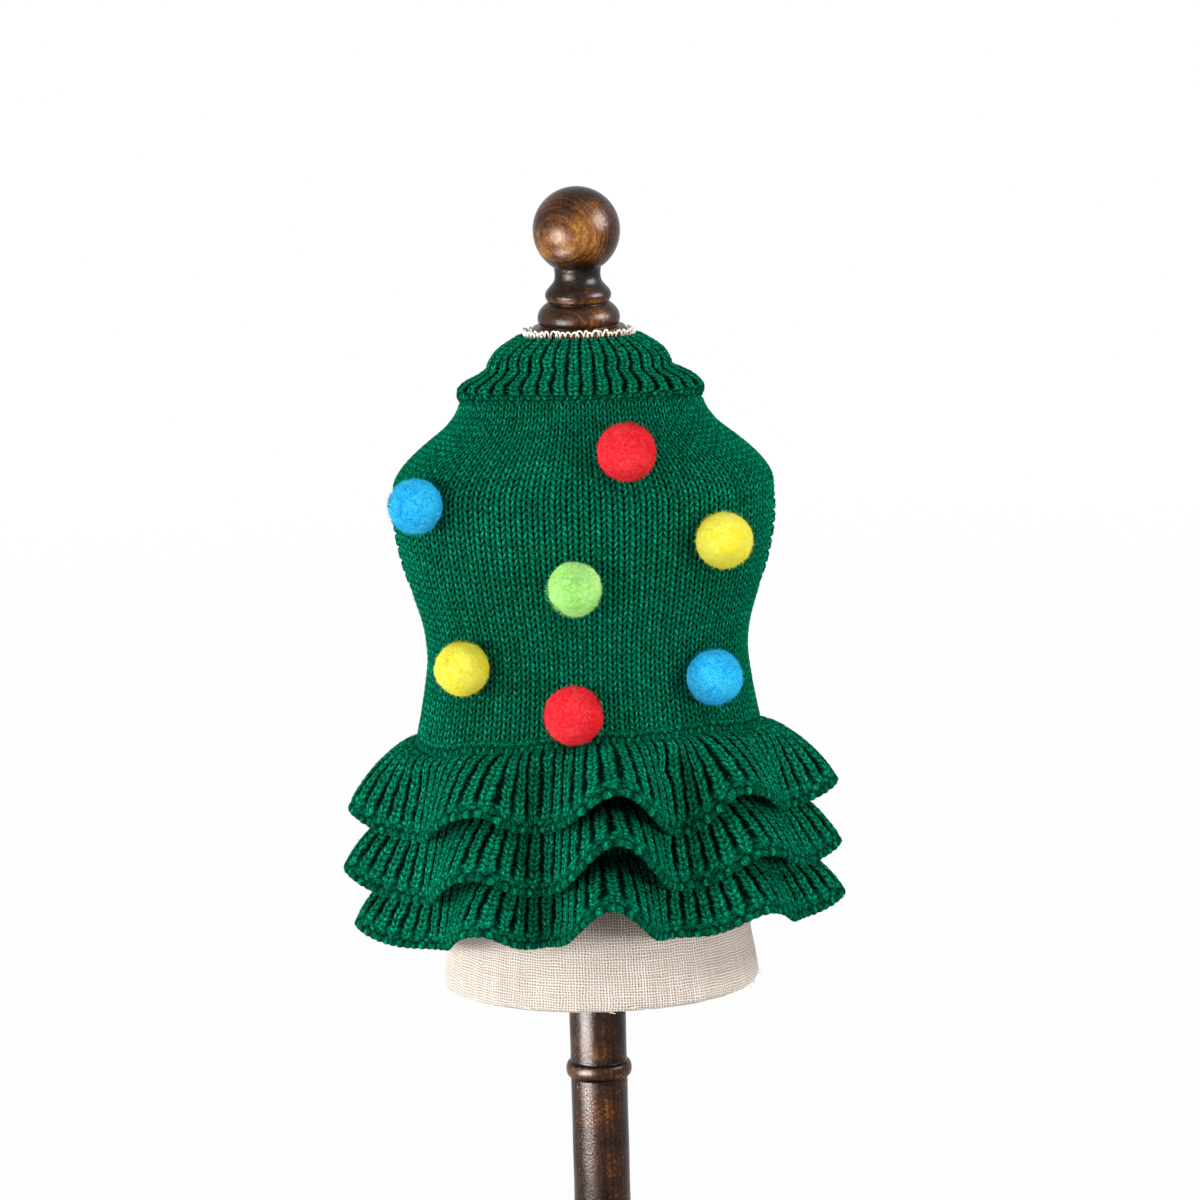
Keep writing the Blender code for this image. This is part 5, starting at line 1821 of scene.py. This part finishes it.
turn = np.linspace(-180.0, 180.0, 181)
collar_line = collar_skin(turn[None, :], np.linspace(0.0, 1.0, 121)[:, None])
CUTS[collar] = Cut(np.linalg.norm(np.diff(collar_line, axis=1), axis=-1).sum(axis=1).mean(),
                   length_along(collar_line)[-1].mean(), "stretched")
for band in leg_bands:
    middle_line = math.pi * (LEG_HOLE_HALF_WIDTH + LEG_HOLE_HALF_HEIGHT - BAND_RIM)
    CUTS[band] = Cut(middle_line, BAND_CUT, "folded")
tube_line = form_skin(turn, np.full(turn.shape, 235.0), EASE)
CUTS[base_tube] = Cut(length_along(tube_line)[-1], BASE_TUBE_BOTTOM - BASE_TUBE_TOP, "stretched")
for ruffle, (strip, drop) in ruffle_sizes.items():
    CUTS[ruffle] = Cut(strip, drop, "gathered", rests_on=["skirt_base_knit", "dress_form"])

for piece, cut in CUTS.items():
    cut.width * MM
    None if cut.area is None else cut.area * MM * MM
    print(f"{piece.name}: {cut.width:.0f} by {cut.length:.0f} mm, {cut.held}")

# %% [markdown]
# ## Floor, light and camera
#
# The dress stands on a plain white floor under soft light, as in a small studio. Low boxes
# stand on both sides, two more hang high at the front and the right, and one stands behind.
# A pale ceiling fills the shadows, while dark cloths round the set keep them deep. The floor
# and the world look white because the camera, a shine and anything clear see them in their
# own white, so no extra light falls on the dress. The shadow shows on the paper round the
# foot of the stand. The camera looks slightly down through a long lens, and hardly bends the
# level rings.

# %% Floor and world
def white_ground(tree):
    """1 for what the camera sees, straight, in a shine or through something clear."""
    path = tree.node("ShaderNodeLightPath", {})
    shown = higher(path.out("Is Camera Ray"), path.out("Is Glossy Ray"))
    return higher(shown, path.out("Is Transmission Ray"))


FLOOR_SIZE = 14.0         # metres from the middle to each side
SHADOW_REACH = 0.085      # metres from the pole within which the shadow shows most
SHADOW_FADE = 0.07        # and over which it fades
FAR_START = 0.5           # from here the paper slowly turns as even as the backdrop
FAR_FADE = 1.6
WHITE_AT_FOOT = 0.56      # share of its own white that the paper shows at the foot,
WHITE_BESIDE = 0.40       # how much more beside the shadow
WHITE_FAR_OFF = 0.04      # and how much more far off

floor_mesh = bpy.data.meshes.new("floor")
corners = [(x * FLOOR_SIZE, y * FLOOR_SIZE, 0) for x, y in ((-1, -1), (1, -1), (1, 1), (-1, 1))]
floor_mesh.from_pydata(corners, [], [(0, 1, 2, 3)])
floor = in_scene("floor", floor_mesh)
paper = Tree("white_paper", Roughness=0.9)
grain = paper.noise(paper.object_place(), 3.0)
paper_grey = paper.ramp(grain, (0.3, (0.38, 0.38, 0.38)), (0.7, (0.42, 0.42, 0.42)))
paper.finish(Base_Color=paper_grey)
glow = paper.node("ShaderNodeEmission", {}, Color=(1.0, 1.0, 1.0), Strength=1.0)
# Far off the paper is all its own white, so no edge shows between it and the backdrop.
away = paper.node("ShaderNodeVectorMath", {"operation": "LENGTH"}, paper.object_place())
away = away.out("Value")
far_off = ((away - FAR_START) / FAR_FADE).limited()
beside = ((away - SHADOW_REACH) / SHADOW_FADE).limited()
share = white_ground(paper) * (WHITE_AT_FOOT + beside * WHITE_BESIDE + far_off * WHITE_FAR_OFF)
lit = paper.node("ShaderNodeMixShader", {}, share, Value(paper, paper.shader), glow)
paper.links.new(lit.socket, paper.nodes["Material Output"].inputs["Surface"])
floor.data.materials.append(paper.material)

world = bpy.data.worlds.new("studio")
world.use_nodes = True
bpy.context.scene.world = world
sky = Net(world.node_tree)
backdrop = sky.nodes["Background"]
SKY_LOW = 0.09            # dark cloths hang round the set
SKY_HIGH = 0.55           # and the ceiling over it is pale
direction = sky.node("ShaderNodeTexCoord", {}).out("Generated")
glow_of_sky = SKY_LOW + higher(sky.split(direction)[2], 0.0) * (SKY_HIGH - SKY_LOW)
seen = white_ground(sky)
level = glow_of_sky * (1.0 - seen) + seen
backdrop.inputs["Color"].default_value = (1.0, 1.0, 1.0, 1.0)
sky.links.new(level.socket, backdrop.inputs["Strength"])
print("floor, metres across:", 2 * FLOOR_SIZE)

# %% Softboxes
Softbox = namedtuple("Softbox", "name place aim size power glint")
SOFTBOXES = [
    Softbox("front_left", (-1.25, -1.18, 0.42), (0.0, 0.0, 0.33), (0.45, 0.45), 18.0, False),
    Softbox("right_high", (1.75, -0.75, 1.85), (0.0, 0.0, 0.34), (0.5, 0.5), 26.0, False),
    Softbox("left_fill", (-2.30, -0.20, 0.30), (0.0, 0.0, 0.30), (0.9, 0.9), 62.0, False),
    Softbox("right_fill", (1.70, -1.30, 0.35), (0.0, 0.0, 0.30), (0.45, 0.45), 33.0, False),
    Softbox("front_top", (-0.40, -1.50, 2.30), (0.0, 0.0, 0.33), (1.0, 1.0), 20.0, False),
    Softbox("behind", (-0.2, 1.9, 1.5), (0.0, 0.0, 0.33), (1.4, 1.4), 16.0, False),
    # Three small boxes stand close by and only show as glints on the varnish.
    Softbox("glint_left", (-0.86, -0.81, 0.31), (0.0, 0.0, 0.31), (0.7, 0.7), 80.0, True),
    Softbox("glint_right", (1.22, -0.38, 1.06), (0.0, 0.0, 0.49), (0.75, 0.75), 76.0, True),
    Softbox("glint_pole", (-0.31, -0.25, 0.07), (0.0, 0.0, 0.07), (0.3, 0.14), 9.0, True),
]


def turned_to(place, aim):
    """The rotation of a lamp or camera that looks from one place to another."""
    return (Vector(aim) - Vector(place)).to_track_quat("-Z", "Y").to_euler()


for box in SOFTBOXES:
    lamp = bpy.data.lights.new(box.name, "AREA")
    lamp.shape = "RECTANGLE"
    lamp.size, lamp.size_y = box.size
    lamp.energy = box.power
    lamp_object = in_scene(box.name, lamp)
    lamp_object.location = box.place
    lamp_object.rotation_euler = turned_to(box.place, box.aim)
    lamp_object.visible_glossy = box.glint
    lamp_object.visible_diffuse = not box.glint
    lamp_object.visible_camera = False
print("softboxes:", [box.name for box in SOFTBOXES])

# %% Camera
CAMERA_LOOKS_DOWN = math.radians(11.0)
CAMERA_ROLL = math.radians(1.53)
CAMERA_DISTANCE = 3.2
CAMERA_AIM = np.array([0.0062, 0.0, 0.3272])
LENS = 211.0              # millimetres, before a sensor this wide
SENSOR = 36.0
FARTHEST = 60.0           # metres that the camera sees

forward = np.array([0.0, math.cos(CAMERA_LOOKS_DOWN), -math.sin(CAMERA_LOOKS_DOWN)])
level_up = np.array([0.0, math.sin(CAMERA_LOOKS_DOWN), math.cos(CAMERA_LOOKS_DOWN)])
level_right = np.array([1.0, 0.0, 0.0])
right_way = math.cos(CAMERA_ROLL) * level_right - math.sin(CAMERA_ROLL) * level_up
up_way = math.sin(CAMERA_ROLL) * level_right + math.cos(CAMERA_ROLL) * level_up
stand_at = CAMERA_AIM - forward * CAMERA_DISTANCE
camera_data = bpy.data.cameras.new("camera")
camera_data.lens = LENS
camera_data.sensor_width = SENSOR
camera_data.clip_end = FARTHEST
camera = in_scene("camera", camera_data)
camera.matrix_world = Matrix(np.vstack([
    np.stack([right_way, up_way, -forward, stand_at], axis=1), (0.0, 0.0, 0.0, 1.0)]))
bpy.context.scene.camera = camera
bpy.context.scene.view_settings.view_transform = "Standard"
print("camera at", [round(float(number), 3) for number in stand_at])
